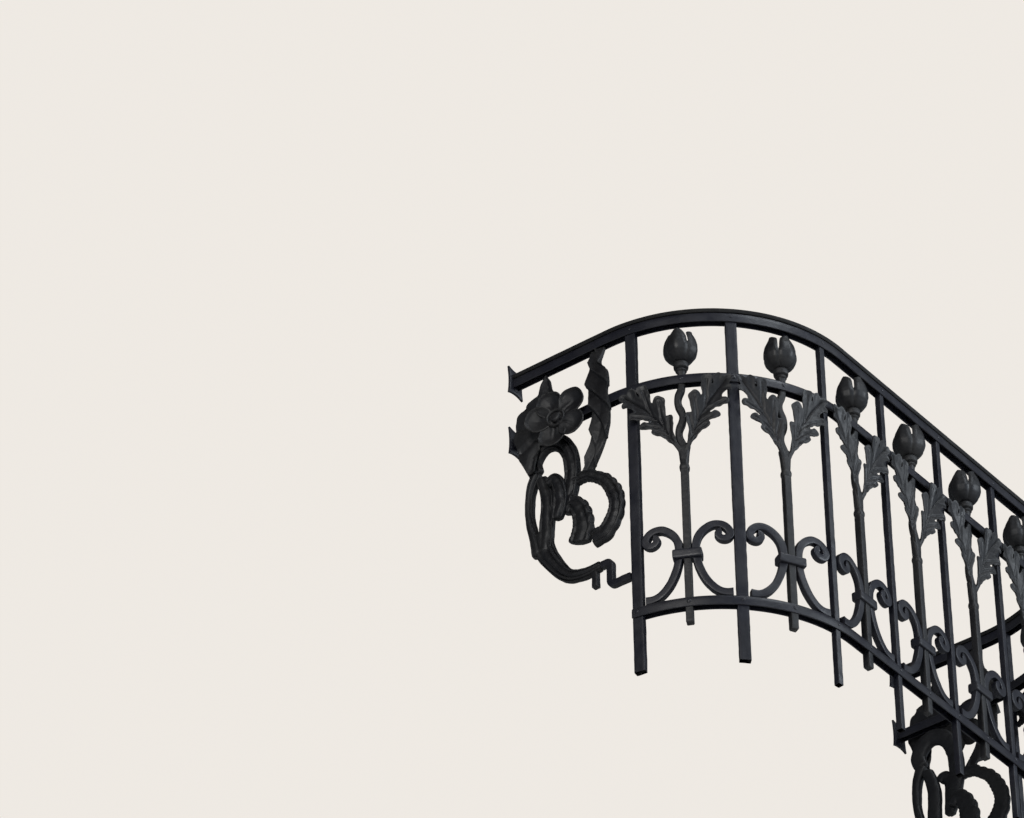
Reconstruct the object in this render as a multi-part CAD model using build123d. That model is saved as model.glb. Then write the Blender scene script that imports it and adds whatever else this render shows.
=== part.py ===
from build123d import *
import os
from math import asin, atan, atan2, copysign, cos, degrees, pi, sin

# Plan: a straight front, two rounded corners and two short returns to the wall
bay = 235
front_bays = 4
corner_bays = 2
post_lead = 63.5
end_panel = 337

# Levels above the deck, all to the top of the rail
bottom_rail_top = 170
mid_rail_top = 788
top_rail_top = 962

# Rails are channels open downwards, with the bars held between the flanges
bar = 15
fit_gap = 0.4
flange = 3.1
rail_height = 26
web = 4
cap_height = 8
cap_overhang = 1
flat_width = 26

# Bud stems between the posts
stem_tail = 50
knob_drop = 259
knob_size = 21
knob_height = 18
fork_drop = 211
upper_bar = 13
sway = 5
ring_lift = 30
ring_width = 32
ring_height = 20
neck_width = 20
bud_width = 76
bud_mouth = 44
bud_belly_share = 0.38
bud_gap = 16
petal_notch = 38
petal_wall = 5
turned_bud = 42
bud_sides = 14

# Leaves that spring from the fork and lie over the middle rail
leaf_length = 232
leaf_lean = 9
leaf_bend = 31
end_leaf_lean = 16
end_leaf_bend = 38
leaf_plate = 3.5
leaf_root = 5
leaf_tip_rise = 8
leaf_crossing = 94
lobe_sides = 8
petiole_width = 8

# Half widths of a leaf blade in equal steps from its foot to its tip
leaf_halves = (4, 4, 8, 14, 16, 17, 19, 20, 19, 12)

# Lobes: where each leaves and ends along the midrib, how far out its tip is, and its width
leaf_lobes = (
    (0.21, 0.40, -28, 20), (0.36, 0.63, -42, 24), (0.57, 0.86, -42, 24),
    (0.19, 0.36, 22, 18), (0.32, 0.49, 36, 21), (0.49, 0.70, 38, 22),
)

# Scrolls on the bottom rail, tied to the stem by a collar
scroll_bar = 14
scroll_offset = 18
foot_reach = 98
foot_run = 8
scroll_arcs = ((66, 60), (30, 110), (14.5, 170), (9, 100))
collar_level = 105
collar_height = 23
collar_strap = 5
collar_edge = 1.5

# Wall flanges
flange_width = 52
flange_height = 76
flange_waist = 0.86
flange_plate = 6
screw_pitch = 44
screw_hole = 5.5

# End panels: flower, vine, ribbon leaf and foot bracket
flower_place = (0.566, 0.952)
petal_reach = 85
petal_size = (70, 74)
petal_angles = (38, -36, -102, -190, 110)
petal_plate = 3.5
flower_ring = 55
ring_plate = 8
boss_width = 31
flower_stand = 18
flower_turn = 10
vine_depth = 18
strand_steps = 10
petal_sides = 14
petal_tilt = 6
stalk_foot_level = 275
stalk_foot_place = 113
bracket_level = 262
bracket_bar = 18
bracket_place = (70, 94)
stalk_level = 326

# Sizes worked out from those above
rail_inner = bar + 2 * fit_gap
rail_depth = rail_inner + 2 * flange
front_run = front_bays * bay - 2 * post_lead
corner_run = corner_bays * bay + 2 * post_lead
corner_radius = corner_run / (pi / 2)
side_x = front_run / 2 + corner_radius
wall_y = corner_radius + end_panel - post_lead
post_count = front_bays + 2 * corner_bays + 1
end_post = (post_count - 1) / 2 * bay
wall_reach = end_post + end_panel
post_top = top_rail_top - web
fork_level = mid_rail_top - fork_drop
knob_level = mid_rail_top - knob_drop
mid_rail_foot = mid_rail_top - rail_height
bottom_rail_foot = bottom_rail_top - rail_height
top_rail_foot = top_rail_top - rail_height
rail_front = rail_depth / 2


def station(run):
    """Upright frame on the rail line: X along it, Y up and Z out to the street."""
    side = 1 if run >= 0 else -1
    beyond = max(abs(run) - front_run / 2, 0)
    turn = min(beyond, corner_run) / corner_radius
    rest = max(beyond - corner_run, 0)
    along = min(abs(run), front_run / 2) + corner_radius * sin(turn) + rest * cos(turn)
    inward = corner_radius * (1 - cos(turn)) + rest * sin(turn)
    return Plane(
        origin=(side * along, inward, 0),
        x_dir=(cos(turn), side * sin(turn), 0),
        z_dir=(side * sin(turn), -cos(turn), 0),
    )


def rail_line(reach):
    """Line of the rail in plan, the same distance each way from the middle post."""
    turn = degrees(min(reach - front_run / 2, corner_run) / corner_radius)
    start = station(-reach)
    bend = station(-min(reach, front_run / 2 + corner_run))
    edges = []
    if reach > front_run / 2 + corner_run:
        edges.append(Line(start.origin, bend.origin))
    edges.append(JernArc(bend.origin, bend.x_dir, corner_radius, turn))
    edges.append(Line((-front_run / 2, 0), (front_run / 2, 0)))
    edges.append(JernArc((front_run / 2, 0), (1, 0), corner_radius, turn))
    if reach > front_run / 2 + corner_run:
        edges.append(Line(edges[-1] @ 1, station(reach).origin))
    return Wire([edge.edge() for edge in edges])


def along_rail(section, reach):
    """Sweeps an upright section, X inward and Y up, along the rail line."""
    start = station(-reach)
    across = Plane(origin=start.origin, x_dir=-start.z_dir, z_dir=start.x_dir)
    return sweep(across * section, path=rail_line(reach))


def post_runs():
    """Distance of each post from the middle of the front, from left to right."""
    return [(number - (post_count - 1) / 2) * bay for number in range(post_count)]


def stem_runs():
    """Distance of each bud stem, halfway between two posts."""
    return [run + bay / 2 for run in post_runs()[:-1]]


def post_width(number):
    """The two outer posts of each corner are flats, and the rest are square bars."""
    from_end = min(number, post_count - 1 - number)
    return flat_width if from_end < corner_bays else bar


def channel(top):
    """Section of a rail: flanges hanging from a web."""
    outer = Pos(0, top - rail_height / 2) * Rectangle(rail_depth, rail_height)
    drop = rail_height - web
    return outer - Pos(0, top - web - drop / 2) * Rectangle(rail_inner, drop)


def punched_rail(top, reach):
    """A rail with a hole in its web for each post and stem that passes through."""
    rail = along_rail(channel(top), reach)
    for number, run in enumerate(post_runs()):
        hole = Box(post_width(number) + 2 * fit_gap, 2 * rail_height, rail_inner)
        rail -= station(run) * Pos(0, top, 0) * hole
    for run in stem_runs():
        rail -= station(run) * Pos(0, top, 0) * Box(rail_inner, 2 * rail_height, rail_inner)
    return rail


def make_top_rail():
    return along_rail(channel(top_rail_top), wall_reach - flange_plate)


def make_handrail_cap():
    """Rounded moulding along the top rail, a little wider than the rail."""
    half = rail_depth / 2 + cap_overhang
    section = Polygon(
        (-half, 0), (half, 0), (half, cap_height * 0.4), (half * 0.55, cap_height),
        (-half * 0.55, cap_height), (-half, cap_height * 0.4), align=None,
    )
    return along_rail(Pos(0, top_rail_top) * section, wall_reach - flange_plate)


def make_post(number, run):
    post = Box(post_width(number), post_top, bar)
    return station(run) * Pos(0, post_top / 2, 0) * post


def bent_bar(start, heading, moves, width):
    """Outline of a bar bent along runs (length, 0) and bends (radius, turn), left turns positive."""
    sides = []
    for out in (width / 2, -width / 2):
        tangent = Vector(*heading)
        point = Vector(*start) + tangent.rotate(Axis.Z, 90) * out
        edges = []
        for size, turn in moves:
            if turn:
                edges.append(JernArc(point, tangent, size - out * copysign(1, turn), turn))
                tangent = tangent.rotate(Axis.Z, turn)
            else:
                edges.append(Line(point, point + tangent * size))
            point = edges[-1] @ 1
        sides.append(edges)
    left, right = sides
    ends = [Line(left[0] @ 0, right[0] @ 0), Line(left[-1] @ 1, right[-1] @ 1)]
    return make_face([*left, *right, *ends])


def swaying_run():
    """The stem between fork and middle rail, drawn out and bent to and fro."""
    step = (mid_rail_foot - fork_level) / 8
    turn = 2 * atan(sway / step)
    radius = step / sin(turn)
    angle = degrees(turn)
    moves = [(radius, angle), (radius, -2 * angle), (radius, 2 * angle), (radius, -2 * angle), (radius, angle)]
    return extrude(bent_bar((0, fork_level), (0, 1), moves, upper_bar), upper_bar / 2, both=True)


def turned(rings):
    """Solid of straight-sided rings, one above the other, each a level and a radius."""
    planes = [Plane(origin=(0, level, 0), x_dir=(1, 0, 0), z_dir=(0, 1, 0)) for level, radius in rings]
    faces = [plane * RegularPolygon(ring[1], bud_sides) for plane, ring in zip(planes, rings)]
    return loft(faces, ruled=True)


def make_bud():
    """Tulip bud of four petals, parted at the mouth, on a ring."""
    ring_foot = mid_rail_top + ring_lift
    bud_foot = ring_foot + ring_height
    bud_top = top_rail_foot - bud_gap
    tall = bud_top - bud_foot
    belly = bud_foot + bud_belly_share * tall
    outer = turned([
        (bud_foot, ring_width * 0.42),
        (bud_foot + tall * 0.14, bud_width * 0.40),
        (belly, bud_width / 2),
        (belly + tall * 0.32, bud_width * 0.46),
        (bud_top, bud_mouth / 2),
    ])
    hollow = turned([(bud_top - petal_notch, 2), (bud_top, bud_mouth / 2 - petal_wall)])
    notch = Polygon((0, bud_top - petal_notch), (7, bud_top + 1), (-7, bud_top + 1), align=None)
    bud = outer - hollow
    for turn in (45, 135):
        bud -= Rot(0, turn, 0) * extrude(notch, bud_width, both=True)
    ring = turned([
        (ring_foot, neck_width / 2), (ring_foot + ring_height * 0.25, ring_width / 2),
        (ring_foot + ring_height * 0.75, ring_width / 2), (bud_foot, ring_width * 0.42),
    ])
    return bud + ring


def make_stem(run, turn):
    """Bud stem in one forging, from its tail under the bottom rail to the bud."""
    tail = bottom_rail_foot - stem_tail
    lower = Pos(0, (tail + fork_level) / 2, 0) * Box(bar, fork_level - tail, bar)
    knob = Pos(0, knob_level, 0) * Box(knob_size, knob_height, knob_size)
    knob = chamfer(knob.edges(), 4)
    through = Pos(0, mid_rail_top - rail_height / 2, 0) * Box(bar, rail_height, bar)
    neck = turned([(mid_rail_top, bar / 2), (mid_rail_top + ring_lift, neck_width / 2)])
    bud = Rot(0, turn, 0) * make_bud()
    stem = lower + knob + swaying_run() + through + neck + bud
    return station(run) * stem


def oval(across, along, sides):
    """Oval with few straight sides, as a hammered edge has."""
    turns = [2 * pi * number / sides for number in range(sides)]
    return Polygon(*[(across / 2 * cos(turn), along / 2 * sin(turn)) for turn in turns], align=None)


def rib_place(share, lean, bend):
    """Place on the bent midrib, a share of its length from the foot, with Y along it."""
    radius = leaf_length / (bend * pi / 180)
    first = lean * pi / 180
    here = (lean + bend * share) * pi / 180
    across = radius * (cos(first) - cos(here))
    up = radius * (sin(here) - sin(first))
    return Pos(across, up) * Rot(0, 0, -(lean + bend * share))


def leaf_outline(lean, bend):
    """Lobed leaf from its stalk at the origin, bending over to the right."""
    left, right = [], []
    for number, half in enumerate(leaf_halves):
        rib = rib_place(number / (len(leaf_halves) - 1), lean, bend)
        left.append((rib * Pos(-half, 0)).position)
        right.append((rib * Pos(half, 0)).position)
    outline = Polygon(*right, *reversed(left), align=None)
    for root, tip, reach, width in leaf_lobes:
        start = rib_place(root, lean, bend).position
        end = (rib_place(tip, lean, bend) * Pos(reach, 0)).position
        run = end - start
        lobe = oval(width, run.length + width / 2, lobe_sides)
        middle = (start + end) / 2
        outline += Pos(middle.X, middle.Y) * Rot(0, 0, -degrees(atan2(run.X, run.Y))) * lobe
    return outline


def leaf_sheet():
    """Bent sheet, X across, Y up and Z out, that the leaf is cut from."""
    clear_of_stem = upper_bar / 2 + fit_gap - leaf_root
    over_rail = rail_front + fit_gap - leaf_root
    rise = mid_rail_foot - fork_level + petiole_width
    line = [
        (-petiole_width, -leaf_plate / 2),
        (petiole_width, -leaf_plate / 2),
        (rise * 0.18, clear_of_stem),
        (rise * 0.93, over_rail),
        (leaf_length, over_rail + leaf_tip_rise),
    ]
    back = [(up, out + leaf_plate) for up, out in reversed(line)]
    side = Plane(origin=(0, 0, 0), x_dir=(0, 1, 0), z_dir=(1, 0, 0)) * Polygon(*line, *back, align=None)
    return extrude(side, leaf_length, both=True)


def make_leaf(run, side):
    """One leaf of a pair, to the right or left of its stem."""
    outer = abs(run + side * bay / 2) > end_post - bay / 2
    lean, bend = (end_leaf_lean, end_leaf_bend) if outer else (leaf_lean, leaf_bend)
    leaf = leaf_sheet() & extrude(leaf_outline(lean, bend), leaf_length, both=True)
    clear = bar / 2 + fit_gap + petiole_width / 2 / cos(lean * pi / 180)
    root = Pos(clear, fork_level - petiole_width, leaf_root)
    leaf = root * Rot(0, corner_hinge(run, leaf_crossing), 0) * leaf
    return leaf if side > 0 else mirror(leaf, about=Plane.YZ)


def make_leaf_pair(run):
    return station(run) * (make_leaf(run, -1) + make_leaf(run, 1))


def corner_hinge(run, reach):
    """Turn about the stem that keeps a piece of that reach over a curved rail."""
    if abs(run) < front_run / 2:
        return 0
    return degrees(asin(reach / 2 / corner_radius))


def scroll_outline():
    """Half scroll from its foot up through the collar and round to the eye."""
    foot = (foot_reach, bottom_rail_top + scroll_bar / 2)
    quarter = foot_reach - foot_run - scroll_offset
    straight = collar_level + collar_height + bar / 2 - scroll_bar / 2 - quarter
    moves = [(foot_run, 0), (quarter, -90), (straight, 0)]
    moves += [(radius, -turn) for radius, turn in scroll_arcs]
    return bent_bar(foot, (-1, 0), moves, scroll_bar)


def scroll_turn(run):
    """Turn of a half scroll about its own upright, so that its foot stands on a curved rail."""
    if abs(run) < front_run / 2:
        return 0
    return degrees(asin(foot_reach ** 2 / (2 * corner_radius) / (foot_reach - scroll_offset)))


def make_scroll_pair(run):
    half = extrude(Pos(-scroll_offset, 0) * scroll_outline(), bar / 2, both=True)
    right = Pos(scroll_offset, 0, 0) * Rot(0, scroll_turn(run), 0) * half
    left = mirror(right, about=Plane.YZ)
    return [station(run) * left, station(run) * right]


def make_collar(run):
    """Strap round the stem and the uprights of its two scrolls."""
    turn = scroll_turn(run) * pi / 180
    inner_width = 2 * scroll_offset + scroll_bar * cos(turn) + bar * sin(turn) + 2 * fit_gap
    inner_depth = bar * cos(turn) + scroll_bar * sin(turn) + 2 * fit_gap
    outer = Box(inner_width + 2 * collar_strap, collar_height, inner_depth + 2 * collar_strap)
    outer = chamfer(outer.edges(), collar_edge)
    strap = outer - Box(inner_width, collar_height, inner_depth)
    level = bottom_rail_top + collar_level + collar_height / 2
    return station(run) * Pos(0, level, 0) * strap


def panel_frame():
    """Upright frame of the left end panel, with X measured from the end post."""
    return Plane(
        origin=(-side_x, corner_radius - post_lead, 0), x_dir=(0, -1, 0), z_dir=(-1, 0, 0)
    )


def panel_point(out, up):
    """Point of an end panel: out is a share of its width and up one of the height to the middle rail.

    An up of 1 to 2 goes on from the middle rail to the foot of the top rail.
    """
    below = min(up, 1) * (mid_rail_top - stalk_foot_level)
    above = max(up - 1, 0) * (top_rail_foot - mid_rail_top)
    return (-out * end_panel, stalk_foot_level + below + above)


def strand(places, widths, low, high, start=None):
    """Forged strand: a band through places with a width at each, set from low to high."""
    points = [panel_point(out, up) for out, up in places]
    line = Spline(start, *points, tangents=((-1, 0), (0, 1))) if start else Spline(*points)
    left, right = [], []
    for number in range(strand_steps + 1):
        share = number / strand_steps
        place = share * (len(widths) - 1)
        first = min(int(place), len(widths) - 2)
        width = widths[first] + (widths[first + 1] - widths[first]) * (place - first)
        normal = (line % share).rotate(Axis.Z, 90) * (width / 2)
        left.append((line @ share) + normal)
        right.append((line @ share) - normal)
    outline = Polygon(*left, *reversed(right), align=None)
    return Pos(0, 0, low) * extrude(outline, high - low, dir=(0, 0, 1))


def make_vine():
    """Stalk that parts in two, arch, curled leaves and a hanging tongue."""
    half = vine_depth / 2
    stalk = strand(
        [(0.427, 0.096), (0.576, 0.136), (0.733, 0.29), (0.785, 0.42)], [26, 30, 38, 50, 60],
        -half, half, (-bracket_place[1], stalk_level),
    )
    outer = strand(
        [(0.815, 0.36), (0.866, 0.497), (0.873, 0.595), (0.855, 0.682), (0.807, 0.754)],
        [28, 20, 18, 20, 30], -half, half,
    )
    inner = strand([(0.742, 0.36), (0.73, 0.526), (0.735, 0.614), (0.766, 0.712)], [34, 28, 26, 26], -half, half)
    arch = strand(
        [(0.807, 0.741), (0.834, 0.809), (0.777, 0.871), (0.688, 0.889), (0.593, 0.858),
         (0.528, 0.78), (0.51, 0.692), (0.516, 0.614), (0.534, 0.536)],
        [36, 42, 44, 42, 40, 40, 41, 40, 36], -half, half,
    )
    curl = strand(
        [(0.546, 0.548), (0.475, 0.493), (0.434, 0.425), (0.437, 0.352), (0.474, 0.276)],
        [38, 44, 42, 42, 36], -half, half,
    )
    scallop = strand(
        [(0.49, 0.634), (0.386, 0.618), (0.309, 0.589), (0.226, 0.542), (0.16, 0.458),
         (0.145, 0.392), (0.175, 0.324), (0.249, 0.269), (0.345, 0.262)],
        [30, 28, 27, 32, 38, 37, 40, 42, 38], -half, half,
    )
    tongue = strand(
        [(0.69, 0.645), (0.636, 0.655), (0.598, 0.615), (0.588, 0.555), (0.593, 0.505), (0.615, 0.442)],
        [24, 26, 30, 34, 34, 24], half - 4, half + 10,
    )
    foot_height = stalk_level - stalk_foot_level
    foot = Pos(-stalk_foot_place, stalk_foot_level + foot_height / 2, 0) * Box(bar, foot_height, bar)
    return stalk + outer + inner + arch + curl + scallop + tongue + foot


def make_ribbon_leaf():
    """Leaf that hangs from the top rail, in front of the middle rail, down to the vine."""
    left_places = ((0.32, 2), (0.329, 1.622), (0.335, 1.27), (0.297, 0.926), (0.32, 0.809), (0.365, 0.721),
                   (0.44, 0.638))
    right_places = ((0.211, 2), (0.237, 1.682), (0.178, 1.486), (0.16, 1.25), (0.166, 1.007), (0.151, 0.92),
                    (0.166, 0.827), (0.235, 0.731), (0.365, 0.64))
    left = Spline(*[panel_point(out, up) for out, up in left_places])
    right = Spline(*[panel_point(out, up) for out, up in right_places])
    outline = make_face([left, Line(left @ 1, right @ 1), right, Line(right @ 0, left @ 0)])
    front = rail_front + fit_gap
    over = panel_point(0, 1.42)[1]
    under = panel_point(0, 0.81)[1]
    foot = panel_point(0, 0.634)[1]
    back_edge = Spline(
        (top_rail_foot, -7), (over, 6), (mid_rail_top, front), (mid_rail_foot, front), (under, 6), (foot, -9)
    )
    front_edge = Spline(
        (top_rail_foot, 7), (over, 20), (mid_rail_top - rail_height / 2, front + 15), (under, 21), (foot, 5)
    )
    side = make_face(
        [back_edge, Line(back_edge @ 1, front_edge @ 1), front_edge,
         Line(front_edge @ 0, back_edge @ 0)]
    )
    section = Plane(origin=(0, 0, 0), x_dir=(0, 1, 0), z_dir=(1, 0, 0)) * side
    slab = extrude(section, end_panel, both=True)
    leaf = (slab & extrude(outline, end_panel, both=True)) - make_vine()
    return max(leaf.solids(), key=lambda solid: solid.volume)


def make_flower():
    """Five-petal flower on a stud, with a pointed leaf and a broad one behind it."""
    length, width = petal_size
    out, level = panel_point(*flower_place)
    petal = extrude(Pos(petal_reach - length / 2, 0) * oval(length, width, petal_sides), petal_plate)
    head = turned_disc(flower_ring / 2, 0, ring_plate)
    head += turned_disc(boss_width / 2, 0, ring_plate + boss_width / 5)
    for angle in petal_angles:
        head += Rot(0, 0, angle) * Rot(0, -petal_tilt, 0) * petal
    flower = turned_disc(boss_width / 3, rail_front, flower_stand + ring_plate / 2)
    flower += Pos(0, 0, rail_front + flower_stand) * Rot(0, flower_turn, 0) * head
    rise = top_rail_foot - level
    leaves = Polygon(
        (20, 10), (2, 0.38 * rise), (-11, 0.52 * rise), (-25, 0.68 * rise), (-40, 0.91 * rise),
        (-53, 0.72 * rise), (-61, 0.64 * rise), (-97, 0.58 * rise), (-117, 0.46 * rise),
        (-129, 0.29 * rise), (-130, 16), (-123, -31), (-113, -65), (-94, -112), (-76, -100),
        (-72, -55), (-20, -40), align=None,
    )
    flower += Pos(0, 0, rail_front) * extrude(leaves, petal_plate)
    return Pos(out, level, 0) * flower


def turned_disc(radius, low, height):
    """Straight-sided disc facing the street."""
    return Pos(0, 0, low) * extrude(RegularPolygon(radius, bud_sides), height)


def make_foot_bracket():
    """Bent bar from the end post to the tip of the stalk."""
    lead = post_lead / corner_radius
    start = flat_width / 2 * cos(lead) + bar / 2 * sin(lead) + fit_gap
    bend = bracket_bar * 0.6
    upright, stalk_tip = bracket_place
    rise = stalk_level - bracket_level
    moves = [(upright - start - bend, 0), (bend, -90), (rise - 2 * bend, 0), (bend, 90),
             (stalk_tip - fit_gap - upright - bend, 0)]
    return extrude(bent_bar((-start, bracket_level), (-1, 0), moves, bracket_bar), bar / 2, both=True)


def flange_outline():
    """Plate with four drawn-out corners and hollow sides."""
    half_x = flange_width / 2
    half_y = flange_height / 2
    corners = [(half_x, half_y), (-half_x, half_y), (-half_x, -half_y), (half_x, -half_y)]
    waists = [(0, half_y * flange_waist), (-half_x * flange_waist, 0),
              (0, -half_y * flange_waist), (half_x * flange_waist, 0)]
    sides = []
    for number in range(4):
        sides.append(ThreePointArc(corners[number], waists[number], corners[(number + 1) % 4]))
    holes = Pos(0, screw_pitch / 2) * Circle(screw_hole / 2)
    holes += Pos(0, -screw_pitch / 2) * Circle(screw_hole / 2)
    return make_face(sides) - holes


def make_wall_flanges():
    """Plates against the wall at the ends of the top and middle rails, left side."""
    face = Plane(origin=(-side_x, wall_y - flange_plate, 0), x_dir=(-1, 0, 0), z_dir=(0, 1, 0))
    levels = (top_rail_top + (cap_height - rail_height) / 2, mid_rail_top - rail_height / 2)
    return [extrude(face * Pos(0, level) * flange_outline(), flange_plate) for level in levels]


def save(name, solids):
    export_step(Compound(children=[solid.solid() for solid in solids]), f"parts/{name}.step")


def save_both_sides(name, solids):
    """Writes a left piece and its mirror image on the right."""
    save(f"left_{name}", solids)
    save(f"right_{name}", [mirror(solid, about=Plane.YZ) for solid in solids])


def main():
    os.makedirs("parts", exist_ok=True)
    save("top_rail", [make_top_rail()])
    save("handrail_cap", [make_handrail_cap()])
    save("mid_rail", [punched_rail(mid_rail_top, wall_reach - flange_plate)])
    save("bottom_rail", [punched_rail(bottom_rail_top, end_post + flat_width / 2)])
    for number, run in enumerate(post_runs()):
        save(f"post_{number + 1}", [make_post(number, run)])
    for number, run in enumerate(stem_runs()):
        turn = turned_bud if number == 0 else 0
        save(f"bud_stem_{number + 1}", [make_stem(run, turn)])
        save(f"leaf_pair_{number + 1}", make_leaf_pair(run).solids())
    scrolls = [make_scroll_pair(run) for run in stem_runs()]
    last = len(scrolls) - corner_bays
    save("left_corner_scrolls", sum(scrolls[:corner_bays], []))
    save("front_scrolls", sum(scrolls[corner_bays:last], []))
    save("right_corner_scrolls", sum(scrolls[last:], []))
    save("collars", [make_collar(run) for run in stem_runs()])
    panel = panel_frame()
    save_both_sides("vine", [panel * make_vine()])
    save_both_sides("ribbon_leaf", [panel * make_ribbon_leaf()])
    save_both_sides("flower", [panel * make_flower()])
    save_both_sides("foot_bracket", [panel * make_foot_bracket()])
    save_both_sides("wall_flanges", make_wall_flanges())


main()
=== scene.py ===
from math import asin, atan, atan2, ceil, copysign, cos, degrees, pi, radians, sin, sqrt

import bmesh
import bpy
import numpy as np
from mathutils import Matrix, Vector, noise


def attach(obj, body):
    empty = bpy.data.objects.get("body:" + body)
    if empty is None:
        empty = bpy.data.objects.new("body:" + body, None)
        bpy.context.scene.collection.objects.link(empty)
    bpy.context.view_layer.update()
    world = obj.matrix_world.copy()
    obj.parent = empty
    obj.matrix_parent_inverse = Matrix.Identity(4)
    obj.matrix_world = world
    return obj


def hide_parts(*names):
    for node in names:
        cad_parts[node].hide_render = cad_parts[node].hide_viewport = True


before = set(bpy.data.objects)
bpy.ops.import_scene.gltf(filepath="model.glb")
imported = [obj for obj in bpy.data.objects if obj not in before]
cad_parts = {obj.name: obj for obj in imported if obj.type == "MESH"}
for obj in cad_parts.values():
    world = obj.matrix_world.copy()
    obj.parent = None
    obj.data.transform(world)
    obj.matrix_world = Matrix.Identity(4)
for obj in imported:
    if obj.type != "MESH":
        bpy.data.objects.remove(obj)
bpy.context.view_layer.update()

bl_info = {
    "name": "Wrought iron balcony railing",
    "version": (1, 0, 0),
    "blender": (4, 5, 0),
    "location": "3D View > Sidebar > Railing",
    "description": "Forges the visible skin of a balcony railing: rails, bars, bud stems, leaves and panels",
    "category": "Object",
}

# The railing's own sizes, in millimetres
MM = 0.001
BAY = 235
FRONT_RUN = 813
CORNER_RUN = 597
CORNER_RADIUS = CORNER_RUN / (pi / 2)
SIDE_X = FRONT_RUN / 2 + CORNER_RADIUS
POST_LEAD = 63.5
END_PANEL = 337
WALL_Y = CORNER_RADIUS + END_PANEL - POST_LEAD
END_POST = 4 * BAY
PLATE = 6
WALL_REACH = END_POST + END_PANEL - PLATE
BOTTOM_RAIL_TOP = 170
MID_RAIL_TOP = 788
TOP_RAIL_TOP = 962
RAIL_HEIGHT = 26
RAIL_DEPTH = 22
RAIL_INNER = 15.8
WEB = 4
CAP_HEIGHT = 8
BAR = 15
FLAT = 26
POST_TOP = TOP_RAIL_TOP - WEB
TOP_RAIL_FOOT = TOP_RAIL_TOP - RAIL_HEIGHT
MID_RAIL_FOOT = MID_RAIL_TOP - RAIL_HEIGHT
FORK = 577
KNOB = 529
STEM_TAIL = BOTTOM_RAIL_TOP - RAIL_HEIGHT - 40
STEM = 17.5
UPPER_BAR = 13
SWAY = 5
BUD_FOOT = MID_RAIL_TOP + 37
BUD_TOP = TOP_RAIL_FOOT - 27
LEAF_LENGTH = 232
LEAF_PLATE = 3.5
LEAF_ROOT = 5
SCROLL_OFFSET = 18
SCROLL_BAR = 16
FOOT_REACH = 98
COLLAR_LEVEL = 286.5
COLLAR_HEIGHT = 23
VINE_FOOT = 275
FLOWER_PLACE = (0.566, 0.952)
FLOWER_SEAT = 29
FLAT_POSTS = (0, 1, 7, 8)
FLANGE_LEVELS = (TOP_RAIL_TOP + (CAP_HEIGHT - RAIL_HEIGHT) / 2, MID_RAIL_TOP - RAIL_HEIGHT / 2)
SCREW_GAP = 44
LEAF_SPAN = 94
VINE_FOOT_TOP = 326
COLLAR_WALLS = 12.5

# How finely the skins are divided: length of faces along rails, bars and bends, size of the cells that
# sheets are cut from, and numbers of points round, along and across a piece
RAIL_STEP = 11
BAR_STEP = 9
SWAY_STEP = 4
SCROLL_STEP = 4.2
BRACKET_STEP = 3
LEAF_CELL = 2.3
PETAL_CELL = 2.6
FLOWER_LEAF_CELL = 2.8
SPUN_SIDES = 28
DISC_SIDES = 40
STRAND_SIDES = 56
STRAND_ROWS = 13
RIBBON_ROWS = 130
RIBBON_COLUMNS = 19
PETAL_COLUMNS = 23

# The turn in degrees from which an edge between two faces is sharp
CREASE = 38

# Distance of each post and stem along the rail from the middle of the front
POST_RUNS = [(number - 4) * BAY for number in range(9)]
STEM_RUNS = [run + BAY / 2 for run in POST_RUNS[:-1]]

# Both ends of the railing, and the place of a forging that is already where it belongs
SIDES = ((-1, "left"), (1, "right"))
UNMOVED = np.eye(4)


def station(run):
    """Upright frame on the rail line: X along it, Y up and Z outward."""
    side = 1 if run >= 0 else -1
    beyond = max(abs(run) - FRONT_RUN / 2, 0)
    turn = min(beyond, CORNER_RUN) / CORNER_RADIUS
    rest = max(beyond - CORNER_RUN, 0)
    along = min(abs(run), FRONT_RUN / 2) + CORNER_RADIUS * sin(turn) + rest * cos(turn)
    inward = CORNER_RADIUS * (1 - cos(turn)) + rest * sin(turn)
    return np.array([
        [cos(turn), 0, side * sin(turn), side * along],
        [side * sin(turn), 0, -cos(turn), inward],
        [0, 1, 0, 0],
        [0, 0, 0, 1],
    ])


def panel(side):
    """Frame of an end panel: X back to the end post, Y up and Z out; side is -1 left, 1 right."""
    return np.array([
        [0, 0, side, side * SIDE_X],
        [-1, 0, 0, CORNER_RADIUS - POST_LEAD],
        [0, 1, 0, 0],
        [0, 0, 0, 1],
    ])


def panel_point(out, up):
    """Place on an end panel; up is 0 at the vine's foot, 1 at the middle rail's top and 2 under the top rail."""
    below = min(up, 1) * (MID_RAIL_TOP - VINE_FOOT)
    above = max(up - 1, 0) * (TOP_RAIL_FOOT - MID_RAIL_TOP)
    return (-out * END_PANEL, VINE_FOOT + below + above)


def shifted(x=0, y=0, z=0):
    place = np.eye(4)
    place[:3, 3] = (x, y, z)
    return place


def turned(axis, angle):
    """Turn about one axis, in degrees."""
    return np.array(Matrix.Rotation(radians(angle), 4, axis))


def flipped():
    """Mirror image, left to right."""
    return np.diag([-1, 1, 1, 1]).astype(float)


def moved(points, place):
    points = np.asarray(points, float)
    return points @ place[:3, :3].T + place[:3, 3]


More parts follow.
